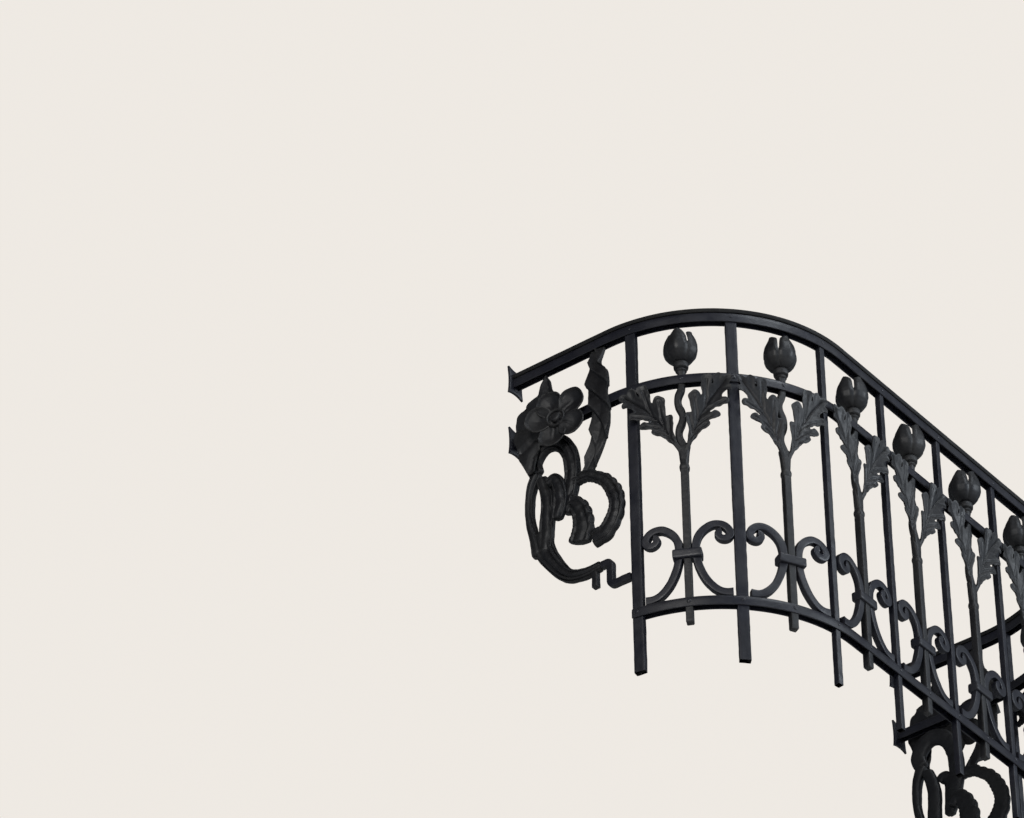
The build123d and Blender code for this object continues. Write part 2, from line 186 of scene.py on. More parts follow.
class Iron:
    """Points and faces of one forging, gathered in millimetres."""

    def __init__(self):
        self.points = []
        self.faces = []
        self.count = 0

    def add(self, points, place):
        first = self.count
        self.points.append(moved(points, place))
        self.count += len(points)
        return first

    def skin(self, rows, place=UNMOVED):
        """Lays a tube over rows of points and shuts both its ends."""
        rows = np.asarray(rows, float)
        count, width = rows.shape[:2]
        first = self.add(rows.reshape(-1, 3), place)
        for row in range(count - 1):
            for column in range(width):
                a = first + row * width + column
                b = first + row * width + (column + 1) % width
                self.faces.append((a, b, b + width, a + width))
        last = first + (count - 1) * width
        self.faces.append(tuple(range(first + width - 1, first - 1, -1)))
        self.faces.append(tuple(range(last, last + width)))

    def close(self, sheet, front, back, place):
        """Lays a sheet's faces over its front and back points and fills its rim."""
        faces, rim = sheet
        first = self.add(front, place)
        second = self.add(back, place)
        for face in faces:
            self.faces.append(tuple(first + corner for corner in face))
            self.faces.append(tuple(second + corner for corner in reversed(face)))
        for a, b in rim:
            self.faces.append((first + b, first + a, second + a, second + b))

    def shell(self, front, back, place):
        """Closes two grids of points, one behind the other."""
        rows, columns = np.shape(front)[:2]
        faces = []
        for row in range(rows - 1):
            for column in range(columns - 1):
                a = row * columns + column
                faces.append((a, a + 1, a + columns + 1, a + columns))
        rim = list(range(columns))
        rim += [row * columns + columns - 1 for row in range(1, rows)]
        rim += [(rows - 1) * columns + column for column in range(columns - 2, -1, -1)]
        rim += [row * columns for row in range(rows - 2, 0, -1)]
        sheet = (faces, list(zip(rim, rim[1:] + rim[:1])))
        self.close(sheet, np.reshape(front, (-1, 3)), np.reshape(back, (-1, 3)), place)

    def cut(self, sheet, x, y, front, back, place):
        """Closes a cut sheet from the places of its points and the heights of its two faces."""
        self.close(sheet, np.stack([x, y, front], axis=1), np.stack([x, y, back], axis=1), place)


def limited(value):
    """Keeps a share between nothing and all."""
    return np.clip(value, 0, 1)


def bell(value, width):
    """One at zero, falling softly to nothing at about twice the width."""
    return np.exp(-(value / width) ** 2)


def thinned(depth, reach, least):
    """Share of a sheet's thickness left at a depth inside its edge, where it is hammered thin."""
    return least + (1 - least) * np.sqrt(limited(depth / reach))


def both_sides(half):
    """An outline of points (out, up) and its mirror image, in one run."""
    return half + [(-out, up) for out, up in reversed(half)]


def raised(base, shape):
    """Levels of a shape whose heights count from a base."""
    return [(base + up, *sizes) for up, *sizes in shape]


def cut_sheet(field, low, high, step):
    """Places of the points, and faces and rim, of a sheet cut along the zero line of a field."""
    xs = np.arange(low[0], high[0] + step, step)
    ys = np.arange(low[1], high[1] + step, step)
    value = field(*np.meshgrid(xs, ys, indexing="ij"))
    # No corner lies on the line itself, so that no sliver is cut
    least = 0.04 * step
    value = np.where(np.abs(value) < least, least, value)
    points, index, faces, rim = [], {}, [], []

    def number(key, point):
        if key not in index:
            index[key] = len(points)
            points.append(point)
        return index[key]

    inside = value > 0
    filled = inside[:-1, :-1] | inside[1:, :-1] | inside[:-1, 1:] | inside[1:, 1:]
    for i, j in np.argwhere(filled):
        corners = [(i, j), (i + 1, j), (i + 1, j + 1), (i, j + 1)]
        face, crossings = [], []
        for here, after in zip(corners, corners[1:] + corners[:1]):
            if inside[here]:
                face.append(number(here, (xs[here[0]], ys[here[1]])))
            if inside[here] != inside[after]:
                share = value[here] / (value[here] - value[after])
                point = (
                    xs[here[0]] + share * (xs[after[0]] - xs[here[0]]),
                    ys[here[1]] + share * (ys[after[1]] - ys[here[1]]),
                )
                face.append(number(tuple(sorted((here, after))), point))
                crossings.append((face[-1], bool(inside[here])))
        faces.append(tuple(face))
        for place, (corner, leaving) in enumerate(crossings):
            if leaving:
                rim.append((corner, crossings[(place + 1) % len(crossings)][0]))
    return np.array(points).T, (faces, rim)


def rod(x, y, start, end, first, last):
    """How deep a point lies inside a rod whose radius goes from first to last."""
    run_x, run_y = end[0] - start[0], end[1] - start[1]
    along = (x - start[0]) * run_x + (y - start[1]) * run_y
    share = limited(along / (run_x ** 2 + run_y ** 2))
    off = np.hypot(x - start[0] - share * run_x, y - start[1] - share * run_y)
    return first + (last - first) * share - off


def away(x, y, lines):
    """Distance from a point to the nearest of several runs of points."""
    nearest = np.full(np.shape(x), 1e6)
    for line in lines:
        for start, end in zip(line[:-1], line[1:]):
            nearest = np.minimum(nearest, -rod(x, y, start, end, 0, 0))
    return nearest


def joined(fields, blend):
    """One field from several, with soft inner corners where they meet."""
    return blend * np.log(sum(np.exp(np.clip(field / blend, -60, 60)) for field in fields))


def curve(points, count):
    """Even smooth curve through points, with its direction at each place."""
    points = np.asarray(points, float)
    ends = np.vstack([2 * points[0] - points[1], points, 2 * points[-1] - points[-2]])
    parts = 24
    fine = []
    for number in range(len(points) - 1):
        a, b, c, d = ends[number:number + 4]
        for share in np.linspace(0, 1, parts, endpoint=number == len(points) - 2):
            fine.append(0.5 * (2 * b + (c - a) * share + (2 * a - 5 * b + 4 * c - d) * share ** 2
                               + (3 * b - a - 3 * c + d) * share ** 3))
    fine = np.array(fine)
    run = np.concatenate([[0], np.cumsum(np.linalg.norm(np.diff(fine, axis=0), axis=1))])
    even = np.linspace(0, run[-1], count)
    line = np.stack([np.interp(even, run, column) for column in fine.T], axis=1)
    heading = np.gradient(line, axis=0)
    heading /= np.linalg.norm(heading, axis=1)[:, None]
    return line, heading


def bar_section(width, depth, edge, sides=2):
    """Section of a bar with rounded edges and a few points along each side."""
    corners = []
    for out_x, out_y, first in ((1, -1, -90), (1, 1, 0), (-1, 1, 90), (-1, -1, 180)):
        for number in range(4):
            angle = radians(first + 30 * number)
            corners.append((out_x * (width / 2 - edge) + edge * cos(angle),
                            out_y * (depth / 2 - edge) + edge * sin(angle)))
    outline = []
    for number, point in enumerate(corners):
        outline.append(point)
        if number % 4 == 3:
            after = corners[(number + 1) % len(corners)]
            for part in range(1, sides + 1):
                share = part / (sides + 1)
                outline.append(tuple(a + (b - a) * share for a, b in zip(point, after)))
    return np.array(outline)


def walk(start, heading, moves, step):
    """Points and headings along runs (length, 0) and bends (radius, turn), left turns positive."""
    x, y = start
    angle = radians(heading)
    line = [(x, y, angle)]
    for size, turn in moves:
        length = abs(radians(turn)) * size if turn else size
        count = max(2, ceil(length / step))
        part = radians(turn) / count
        chord = 2 * size * sin(abs(part) / 2) if turn else size / count
        for _ in range(count):
            x += chord * cos(angle + part / 2)
            y += chord * sin(angle + part / 2)
            angle += part
            line.append((x, y, angle))
    return line


def bent_rows(line, section, stretch=None):
    """Rows of a bar's skin along a bent line; stretch gives width and depth factors at a share."""
    rows = []
    for number, (x, y, angle) in enumerate(line):
        wide, deep = stretch(number / (len(line) - 1)) if stretch else (1, 1)
        rows.append([(x - sin(angle) * a * wide, y + cos(angle) * a * wide, b * deep) for a, b in section])
    return rows


def upright_rows(section, levels):
    """Rows of an upright bar; each level is a height with width and depth factors."""
    rows = []
    for level in levels:
        height, wide, deep = level if isinstance(level, tuple) else (level, 1, 1)
        rows.append([(a * wide, height, b * deep) for a, b in section])
    return rows


def ring_turns(sides):
    """Even turns round a circle."""
    return [2 * pi * number / sides for number in range(sides)]


def spun(profile):
    """Rows of a turned piece about the upright axis, from heights and radii."""
    return [[(radius * cos(turn), height, radius * sin(turn)) for turn in ring_turns(SPUN_SIDES)]
            for height, radius in profile]


def disc_rows(profile, sides=DISC_SIDES):
    """Rows of a disc that faces outward, from radii and heights."""
    return [[(radius * cos(turn), radius * sin(turn), height) for turn in ring_turns(sides)]
            for radius, height in profile]


def steps(low, high, size):
    """Levels from low to high, not more than size apart."""
    return list(np.linspace(low, high, max(2, int(abs(high - low) / size) + 2)))


def finish_mesh(mesh, depth, grain, crease=CREASE):
    """Turns faces outwards, dents the iron a little and keeps its real edges sharp."""
    shape = bmesh.new()
    shape.from_mesh(mesh)
    bmesh.ops.remove_doubles(shape, verts=shape.verts, dist=2e-7)
    bmesh.ops.recalc_face_normals(shape, faces=shape.faces)
    shape.normal_update()
    if depth:
        shifts = []
        for vert in shape.verts:
            spot = vert.co / (grain * MM)
            height = noise.noise(spot) + 0.5 * noise.noise(spot * 2.3 + Vector((7, 3, 5)))
            shifts.append(vert.normal * (depth * MM * height))
        for vert, shift in zip(shape.verts, shifts):
            vert.co += shift
    for edge in shape.edges:
        edge.smooth = edge.calc_face_angle(0) < radians(crease)
    for face in shape.faces:
        face.smooth = True
    shape.to_mesh(mesh)
    shape.free()


def iron_mesh(name, iron, depth, grain, crease=CREASE):
    """Finished mesh, in metres, of gathered iron."""
    mesh = bpy.data.meshes.new(name)
    mesh.from_pydata((np.concatenate(iron.points) * MM).tolist(), [], iron.faces)
    finish_mesh(mesh, depth, grain, crease)
    return mesh


def added(name, data):
    """Puts a new object in the scene."""
    made = bpy.data.objects.new(name, data)
    bpy.context.scene.collection.objects.link(made)
    return made


def forge(name, iron, paint, nodes, depth=0.25, grain=24, crease=CREASE):
    """Makes one piece from gathered iron and puts it in the place of its CAD nodes."""
    mesh = iron_mesh(name, iron, depth, grain, crease)
    mesh.materials.append(bpy.data.materials[paint])
    settle(added(name, mesh), nodes)


def forge_ends(piece, ending, paint, fill, **looks):
    """Forges one piece of both end panels; fill lays its iron in the frame of a panel."""
    for side, name in SIDES:
        iron = Iron()
        fill(iron, panel(side))
        forge(f"{name}_{piece}_{ending}", iron, paint, [f"{name}_{piece}"], **looks)


def settle(piece, nodes):
    """Puts a piece on the root body and hides the CAD nodes that it stands for."""
    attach(piece, "root")
    if nodes:
        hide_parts(*nodes)


# Kinds of socket in the node groups
FLOAT = "NodeSocketFloat"
VECTOR = "NodeSocketVector"
COLOUR = "NodeSocketColor"
GEOMETRY = "NodeSocketGeometry"
MATERIAL = "NodeSocketMaterial"


def group_sockets(group, inputs, outputs):
    for name, kind, default in inputs:
        socket = group.interface.new_socket(name, in_out="INPUT", socket_type=kind)
        if default is not None:
            socket.default_value = default
    for name, kind in outputs:
        group.interface.new_socket(name, in_out="OUTPUT", socket_type=kind)
    return group.nodes.new("NodeGroupInput"), group.nodes.new("NodeGroupOutput")


def node(tree, kind, inputs=None, **settings):
    """Adds a node with its settings and plugs values or sockets into its inputs."""
    made = tree.nodes.new(kind)
    for name, value in settings.items():
        setattr(made, name, value)
    for name, value in (inputs or {}).items():
        socket = made.inputs[name]
        if isinstance(value, bpy.types.NodeSocket):
            tree.links.new(value, socket)
        else:
            socket.default_value = value
    return made


def math(tree, operation, first, second=0.5, clamp=False):
    made = node(tree, "ShaderNodeMath", {0: first, 1: second}, operation=operation, use_clamp=clamp)
    return made.outputs[0]


def spread(tree, value, low, high, out_low=0.0, out_high=1.0):
    limits = {"From Min": low, "From Max": high, "To Min": out_low, "To Max": out_high}
    return node(tree, "ShaderNodeMapRange", {"Value": value, **limits}).outputs["Result"]


def clouds(tree, vector, scale, detail, roughness=0.5):
    looks = {"Scale": scale, "Detail": detail, "Roughness": roughness}
    return node(tree, "ShaderNodeTexNoise", {"Vector": vector, **looks}).outputs["Fac"]


def blended(tree, mask, first, second):
    """Colour that goes from first to second with a mask."""
    mix = node(tree, "ShaderNodeMix", {"Factor": mask, "A": first, "B": second}, data_type="RGBA")
    return mix.outputs["Result"]


def hammer_group():
    """Shallow dents of the hammer and the fine skin of brushed paint, as one height."""
    group = bpy.data.node_groups.new("hammer_marks", "ShaderNodeTree")
    enter, leave = group_sockets(
        group,
        [("Vector", VECTOR, None), ("Mark size", FLOAT, 0.012), ("Dents", FLOAT, 0.5),
         ("Brush skin", FLOAT, 0.3)],
        [("Height", FLOAT)],
    )
    vector = enter.outputs["Vector"]
    scale = math(group, "DIVIDE", 1.0, enter.outputs["Mark size"])
    dents = node(group, "ShaderNodeTexVoronoi", {"Vector": vector, "Scale": scale, "Smoothness": 0.8},
                 feature="SMOOTH_F1")
    fine = clouds(group, vector, math(group, "MULTIPLY", scale, 6.0), 4.0, 0.6)
    broad = clouds(group, vector, math(group, "MULTIPLY", scale, 0.7), 2.0)
    hollows = math(group, "ADD", dents.outputs["Distance"], broad)
    hollows = math(group, "MULTIPLY", hollows, enter.outputs["Dents"])
    skin = math(group, "MULTIPLY", fine, enter.outputs["Brush skin"])
    group.links.new(math(group, "ADD", hollows, skin), leave.inputs["Height"])


def weather_group():
    """Dust on ledges and in a thin patchy film, worn edges, and the small rust spots of old paint."""
    group = bpy.data.node_groups.new("street_weather", "ShaderNodeTree")
    enter, leave = group_sockets(
        group,
        [("Vector", VECTOR, None), ("Paint", COLOUR, (0.02, 0.02, 0.025, 1)),
         ("Dust", COLOUR, (0.2, 0.19, 0.17, 1)), ("Worn", COLOUR, (0.1, 0.1, 0.1, 1)),
         ("Rust", COLOUR, (0.12, 0.05, 0.025, 1)), ("Dust amount", FLOAT, 0.3), ("Edge wear", FLOAT, 0.4),
         ("Rust amount", FLOAT, 0.2)],
        [("Colour", COLOUR), ("Dust mask", FLOAT)],
    )
    vector = enter.outputs["Vector"]
    surface = group.nodes.new("ShaderNodeNewGeometry")
    upward = node(group, "ShaderNodeSeparateXYZ", {"Vector": surface.outputs["Normal"]}).outputs["Z"]
    ledge = spread(group, upward, 0.15, 0.95)
    patches = spread(group, clouds(group, vector, 38.0, 5.0, 0.65), 0.38, 0.72)
    film = spread(group, clouds(group, vector, 9.0, 3.0), 0.42, 0.78, 0.0, 0.35)
    dust = math(group, "ADD", math(group, "MULTIPLY", ledge, patches), film)
    dust = math(group, "MULTIPLY", dust, enter.outputs["Dust amount"], True)
    edge = spread(group, surface.outputs["Pointiness"], 0.52, 0.60)
    chips = spread(group, clouds(group, vector, 120.0, 3.0, 0.7), 0.35, 0.65)
    worn = math(group, "MULTIPLY", math(group, "MULTIPLY", edge, chips), enter.outputs["Edge wear"], True)
    spots = spread(group, clouds(group, vector, 62.0, 6.0, 0.75), 0.66, 0.74)
    rusty = math(group, "MULTIPLY", spots, enter.outputs["Rust amount"], True)
    shade = spread(group, clouds(group, vector, 14.0, 4.0), 0.3, 0.7, 0.82, 1.18)
    tone = node(group, "ShaderNodeVectorMath", {0: enter.outputs["Paint"], "Scale": shade}, operation="SCALE")
    result = tone.outputs[0]
    for mask, layer in ((worn, "Worn"), (rusty, "Rust"), (dust, "Dust")):
        result = blended(group, mask, result, enter.outputs[layer])
    group.links.new(result, leave.inputs["Colour"])
    group.links.new(dust, leave.inputs["Dust mask"])


def placed_group(tree, name, vector, values):
    """Puts a shader group in a material with the material's own values."""
    made = tree.nodes.new("ShaderNodeGroup")
    made.node_tree = bpy.data.node_groups[name]
    tree.links.new(vector, made.inputs["Vector"])
    for socket, value in values.items():
        made.inputs[socket].default_value = value
    return made


def paint_material(name, look, colour, gloss, dents, mark, dust, wear, rust):
    """One paint: weathered colour, satin gloss broken by dust, and hammer marks as relief."""
    material = bpy.data.materials.new(name)
    material.use_nodes = True
    tree = material.node_tree
    shader = tree.nodes["Principled BSDF"]
    place = tree.nodes.new("ShaderNodeTexCoord").outputs["Object"]
    weather = placed_group(tree, "street_weather", place, {
        "Paint": (*colour, 1), "Dust": (*look.dust_colour, 1), "Worn": (*look.worn_colour, 1),
        "Rust": (*look.rust_colour, 1), "Dust amount": dust, "Edge wear": wear, "Rust amount": rust})
    marks = placed_group(tree, "hammer_marks", place, {"Mark size": mark, "Dents": dents})
    rough = spread(tree, clouds(tree, place, 30.0, 4.0), 0.3, 0.7, gloss - 0.08, gloss + 0.1)
    rough = math(tree, "ADD", rough, math(tree, "MULTIPLY", weather.outputs["Dust mask"], 0.4), True)
    relief = {"Strength": 0.55, "Distance": 0.0011, "Height": marks.outputs["Height"]}
    bump = node(tree, "ShaderNodeBump", relief)
    tree.links.new(weather.outputs["Colour"], shader.inputs["Base Color"])
    tree.links.new(rough, shader.inputs["Roughness"])
    tree.links.new(bump.outputs["Normal"], shader.inputs["Normal"])
    shader.inputs["Specular IOR Level"].default_value = look.sheen


# Sizes, paints and stage that a user may change


class RailingIron(bpy.types.PropertyGroup):
    edge: bpy.props.FloatProperty(
        name="Bar edge", description="Radius that the edges of the bars are rounded to",
        default=0.0014, min=0.0002, max=0.004, unit="LENGTH")
    dent: bpy.props.FloatProperty(
        name="Dents", description="Depth of the unevenness that forging leaves in the vine",
        default=0.0005, min=0, max=0.004, unit="LENGTH")
    vein: bpy.props.FloatProperty(
        name="Vein depth", description="Depth of the chiselled veins in leaves",
        default=0.0019, min=0, max=0.003, unit="LENGTH")
    fold: bpy.props.FloatProperty(
        name="Leaf fold", description="How far the sides of a leaf rise from its midrib",
        default=0.0055, min=0, max=0.012, unit="LENGTH")
    rim: bpy.props.FloatProperty(
        name="Petal rim", description="Height of the turned-up rim of the flower's petals",
        default=0.0042, min=0, max=0.008, unit="LENGTH")
    ridge: bpy.props.FloatProperty(
        name="Strand ridge", description="Height of the ridges along the vine",
        default=0.0030, min=0, max=0.005, unit="LENGTH")
    rivet: bpy.props.FloatProperty(
        name="Rivet head", description="Radius of the rivet heads on the rails",
        default=0.0045, min=0.001, max=0.008, unit="LENGTH")
    seed: bpy.props.IntProperty(
        name="Seed", description="Seed of the small differences between rivets", default=7, min=0)


class RailingPaint(bpy.types.PropertyGroup):
    bar_colour: bpy.props.FloatVectorProperty(
        name="Bar paint", description="Colour of the painted bars and rails", subtype="COLOR",
        default=(0.0104, 0.0110, 0.0178), min=0, max=1)
    # The cap's colour is near black, far darker than the bars' paint: it is painted shade for the cap's
    # downward-facing front.
    cap_shaded_colour: bpy.props.FloatVectorProperty(
        name="Cap paint", description="Colour of the handrail cap, darkened to paint the shade on its downward face", subtype="COLOR",
        default=(0.0022, 0.0021, 0.0023), min=0, max=1)
    forged_colour: bpy.props.FloatVectorProperty(
        name="Ornament paint", description="Colour of the painted stems, leaves, vine and flower",
        subtype="COLOR", default=(0.0058, 0.0059, 0.0078), min=0, max=1)
    dust_colour: bpy.props.FloatVectorProperty(
        name="Dust", description="Colour of the dust on ledges", subtype="COLOR",
        default=(0.075, 0.072, 0.066), min=0, max=1)
    worn_colour: bpy.props.FloatVectorProperty(
        name="Worn edge", description="Colour of edges where the paint is rubbed", subtype="COLOR",
        default=(0.045, 0.043, 0.042), min=0, max=1)
    rust_colour: bpy.props.FloatVectorProperty(
        name="Rust", description="Colour of the small rust spots", subtype="COLOR",
        default=(0.035, 0.019, 0.012), min=0, max=1)
    sheen: bpy.props.FloatProperty(
        name="Sheen", description="Strength of the paint's reflections",
        default=0.45, min=0, max=1, subtype="FACTOR")


class RailingStage(bpy.types.PropertyGroup):
    floor_colour: bpy.props.FloatVectorProperty(
        name="Floor", description="Colour of the plain floor", subtype="COLOR",
        default=(0.86, 0.84, 0.81), min=0, max=1)
    backdrop: bpy.props.FloatVectorProperty(
        name="Backdrop", description="Pale colour seen behind the railing", subtype="COLOR",
        default=(0.86, 0.82, 0.77), min=0, max=1)
    lens: bpy.props.FloatProperty(
        name="Lens", description="Focal length of the camera",
        default=0.1758, min=0.05, max=0.3, unit="CAMERA")
    place: bpy.props.FloatVectorProperty(
        name="Camera place", description="Where the camera stands, below and in front",
        default=(-8.171, -4.999, -6.147), subtype="TRANSLATION", unit="LENGTH")
    pitch: bpy.props.FloatProperty(
        name="Pitch", description="How far the camera looks up",
        default=radians(37.08), subtype="ANGLE")
    heading: bpy.props.FloatProperty(
        name="Heading", description="Compass turn of the camera from straight ahead",
        default=radians(52.53), subtype="ANGLE")
    roll: bpy.props.FloatProperty(
        name="Roll", description="Tilt of the camera",
        default=radians(-0.64), subtype="ANGLE")


class RAILING_OT_paints(bpy.types.Operator):
    """Mixes the paints of the bars, the cap and the ornaments"""
    bl_idname = "railing.paints"
    bl_label = "Paints"

    def execute(self, context):
        look = context.scene.railing_paint
        hammer_group()
        weather_group()
        paint_material("bar_paint", look, look.bar_colour, gloss=0.38, dents=0.30, mark=0.016,
                       dust=0.45, wear=0.2, rust=0.12)
        # The cap's paint carries painted shade: its near-black colour stands in for the shade on the cap's
        # downward front.
        paint_material("cap_shaded_paint", look, look.cap_shaded_colour, gloss=0.70, dents=0.40, mark=0.020,
                       dust=0.5, wear=0.0, rust=0.12)
        paint_material("forged_paint", look, look.forged_colour, gloss=0.48, dents=0.75, mark=0.009,
                       dust=0.6, wear=0.9, rust=0.35)
        return {"FINISHED"}


def along_rail(section, level, reach):
    """Rows of a bar that follows the rail line; its section gives points out and up."""
    return [moved([(0, level + up, out) for out, up in section], station(run))
            for run in steps(-reach, reach, RAIL_STEP)]


class RAILING_OT_rails(bpy.types.Operator):
    """Bends the three channel rails and the handrail cap"""
    bl_idname = "railing.rails"
    bl_label = "Rails"

    def execute(self, context):
        outer = RAIL_DEPTH / 2
        inner = RAIL_INNER / 2
        foot = -RAIL_HEIGHT
        section = both_sides([(outer, -11), (outer - 0.25, -7.5), (outer - 0.8, -4.4), (outer - 1.6, -2.2),
                              (outer - 2.8, -0.8), (outer - 4.6, 0)])
        section += both_sides([(-outer, foot * 0.6), (-outer, foot + 0.8), (-outer + 0.8, foot),
                               (-inner - 0.6, foot), (-inner, foot + 0.6), (-inner, -WEB - 1),
                               (-inner + 1, -WEB)])
        bars = [("top_rail", TOP_RAIL_TOP, WALL_REACH), ("mid_rail", MID_RAIL_TOP, WALL_REACH),
                ("bottom_rail", BOTTOM_RAIL_TOP, END_POST + FLAT / 2)]
        for name, top, reach in bars:
            iron = Iron()
            iron.skin(along_rail(section, top, reach))
            forge(f"{name}_channel", iron, "bar_paint", [name], depth=0.22, grain=46)
        half = outer + 3.4
        cap = both_sides([(outer - 0.4, 0.2), (outer + 0.6, 1.2), (outer + 1.6, 3.0), (outer + 2.6, 5.2),
                          (half, 7.3), (half - 0.4, 7.9), (half * 0.75, CAP_HEIGHT + 0.2),
                          (half * 0.4, CAP_HEIGHT + 0.4)])
        iron = Iron()
        iron.skin(along_rail(cap, TOP_RAIL_TOP, WALL_REACH))
        forge("handrail_cap_moulding", iron, "cap_shaded_paint", ["handrail_cap"], depth=0.2, grain=50)
        return {"FINISHED"}


class RAILING_OT_posts(bpy.types.Operator):
    """Sets the nine straight posts: two flats at each end and square bars between"""
    bl_idname = "railing.posts"
    bl_label = "Posts"

    def execute(self, context):
        edge = context.scene.railing_iron.edge / MM
        for number, run in enumerate(POST_RUNS):
            width = FLAT if number in FLAT_POSTS else BAR
            iron = Iron()
            section = bar_section(width, BAR, edge, sides=3)
            iron.skin(upright_rows(section, steps(0, POST_TOP, BAR_STEP)), station(run))
            forge(f"post_{number + 1}_bar", iron, "bar_paint", [f"post_{number + 1}"], depth=0.55, grain=17)
        return {"FINISHED"}


# The stem, as heights over its knob, fork, middle rail and bud foot, with width and depth factors
# or, for the turned ring, radii
KNOB_SHAPE = [(-9, 1, 1), (-8, 1.1, 1.06), (-6, 1.25, 1.2), (-2, 1.31, 1.26), (2, 1.31, 1.26), (6, 1.22, 1.18),
              (8.5, 1.08, 1.06), (12, 1.08, 1.0), (22, 1.2, 1.02), (34, 1.3, 1.0)]
FORK_SHAPE = [(0, 1.48, 0.96), (8, 1.68, 0.92), (13, 1.74, 0.84), (17, 1.5, 0.7), (19.5, 1.0, 0.5)]
NECK_SHAPE = [(0, 1.06, 1.06), (6, 1.15, 1.18), (14, 1.22, 1.27), (22, 1.34, 1.4)]
RING_SHAPE = [(-27, 9), (-26, 11.6), (-23.5, 13.4), (-20.5, 13), (-18.6, 11.6), (-17.6, 14.2), (-15.4, 16.8),
              (-11, 17.4), (-5.5, 17.6), (-2.4, 16.6), (-1.2, 14), (-0.2, 12.6), (3, 12), (5, 6)]
PETALS = 4

# Turns of the first buds on their stems, in degrees
FIRST_BUD_TURNS = (-8, 12)


def swaying_line():
    """The stem's wavering line from the fork to the middle rail."""
    step = (MID_RAIL_FOOT - FORK) / 8
    turn = 2 * atan(SWAY / step)
    radius = step / sin(turn)
    angle = degrees(turn)
    moves = [(radius, angle), (radius, -2 * angle), (radius, 2 * angle), (radius, -2 * angle), (radius, angle)]
    return walk((0, FORK), 90, moves, SWAY_STEP)


def bud_radius(share):
    """Radius of the closed bud at a share of its height."""
    return np.interp(share, (0, 0.05, 0.12, 0.24, 0.38, 0.54, 0.7, 0.85, 1.0),
                     (13, 22.5, 29.8, 36.8, 40.0, 40.0, 37.4, 32.2, 25.5))


def petal_grid(rise):
    """Front and back of one bud petal, a narrow spoon that parts from its neighbours at the mouth."""
    front, back = [], []
    for up in list(np.linspace(0, 0.88, 28)) + [0.91, 0.94, 0.965, 0.985, 1.0]:
        radius = float(bud_radius(up))
        parting = 0.09 * min(max((up - 0.4) / 0.15, 0), 1) + 0.18 * max((up - 0.5) / 0.5, 0) ** 2.2
        half = radius * pi / 4 * (1.03 - parting)
        half *= max(1 - max((up - 0.85) / 0.15, 0) ** 2.5, 0.001) ** 0.4
        row_front, row_back = [], []
        for across in np.linspace(-1, 1, PETAL_COLUMNS):
            angle = across * half / radius
            tuck = (3.2 + 3.2 * up) * abs(across) ** 2.6
            ribs = 0.7 * cos(2.6 * pi * across) * sin(pi * up) ** 0.5 * (1 - across ** 4)
            flare = 2.5 * max(up - 0.9, 0) / 0.1
            out = radius - tuck + ribs + flare
            thick = 3.6 * (0.5 + 0.5 * sqrt(max(1 - across ** 2, 0)))
            level = BUD_FOOT + up * rise
            row_front.append((sin(angle) * out, level, cos(angle) * out))
            row_back.append((sin(angle) * (out - thick), level - 0.6 * up, cos(angle) * (out - thick)))
        front.append(row_front)
        back.append(row_back)
    return front, back


class RAILING_OT_bud_stems(bpy.types.Operator):
    """Forges the eight stems with knob, wavering neck, ring and tulip bud"""
    bl_idname = "railing.bud_stems"
    bl_label = "Bud stems"

    def execute(self, context):
        edge = context.scene.railing_iron.edge / MM
        square = bar_section(STEM, STEM, edge=1.3 * edge)
        soft = bar_section(STEM, STEM, edge=5.2)
        neck = bar_section(UPPER_BAR + 3, UPPER_BAR + 2, edge=5.0)
        shaft = [(STEM_TAIL, 0.86, 0.86), (STEM_TAIL + 2.5, 1, 1)] + steps(STEM_TAIL + 9, KNOB - 8, BAR_STEP)
        through = [(MID_RAIL_FOOT - 1, 1.03, 1), (MID_RAIL_FOOT + 5, 1.03, 1)] + raised(MID_RAIL_TOP, NECK_SHAPE)
        rise = BUD_TOP - BUD_FOOT
        core = [(BUD_FOOT + share * rise, float(bud_radius(share)) - 7.4)
                for share in (0.02, 0.08, 0.16, 0.26, 0.38, 0.46)]
        core = [(BUD_FOOT - 1, 6)] + core + [(BUD_FOOT + 0.5 * rise, 20)]

        def drawn(share):
            return 1.04 + 0.12 * sin(4 * pi * share) ** 2, 1.0
        tubes = [
            upright_rows(square, shaft),
            upright_rows(soft, raised(KNOB, KNOB_SHAPE) + raised(FORK, FORK_SHAPE)),
            bent_rows(swaying_line(), neck, drawn),
            upright_rows(neck, through),
            spun(raised(BUD_FOOT, RING_SHAPE)),
            spun(core),
        ]
        front, back = petal_grid(rise)
        for number, run in enumerate(STEM_RUNS):
            place = station(run)
            iron = Iron()
            for rows in tubes:
                iron.skin(rows, place)
            turn = FIRST_BUD_TURNS[number] if number < len(FIRST_BUD_TURNS) else 5 * sin(5.1 * number)
            for petal in range(PETALS):
                iron.shell(front, back, place @ turned("Y", turn + petal * 360 / PETALS))
            name = f"bud_stem_{number + 1}"
            forge(f"{name}_forging", iron, "forged_paint", [name], depth=0.4, grain=22)
        return {"FINISHED"}


def rib_line(along, lean, bend):
    """Places and directions on a leaf's bent midrib, at distances from its foot."""
    radius = LEAF_LENGTH / radians(bend)
    first = radians(lean)
    here = np.radians(lean + bend * along / LEAF_LENGTH)
    return radius * (cos(first) - np.cos(here)), radius * (np.sin(here) - sin(first)), here


# Lobes: where each leaves the midrib, its tip across and along the leaf, and the radius of its round end
LOBES = [(0.20, -31, 98, 11), (0.34, -47, 153, 14.5), (0.55, -46, 202, 13.5),
         (0.18, 29, 88, 10.5), (0.30, 41, 124, 11.5), (0.46, 42, 171, 11.5)]

# Rods that make the middle of the leaf: both ends and the radius at each
BLADE = [((0, -8), (0, 34), 5.4, 6.0), ((0, 34), (0, 66), 6.2, 10.5), ((0, 66), (0, 112), 10.5, 15.5),
         ((0, 112), (0, 165), 15.5, 21), ((0, 165), (0, 198), 21, 15), ((0, 198), (2, 222), 14, 11),
         ((0, 190), (-18, 213), 12, 9.5), ((0, 186), (18, 204), 12, 9)]


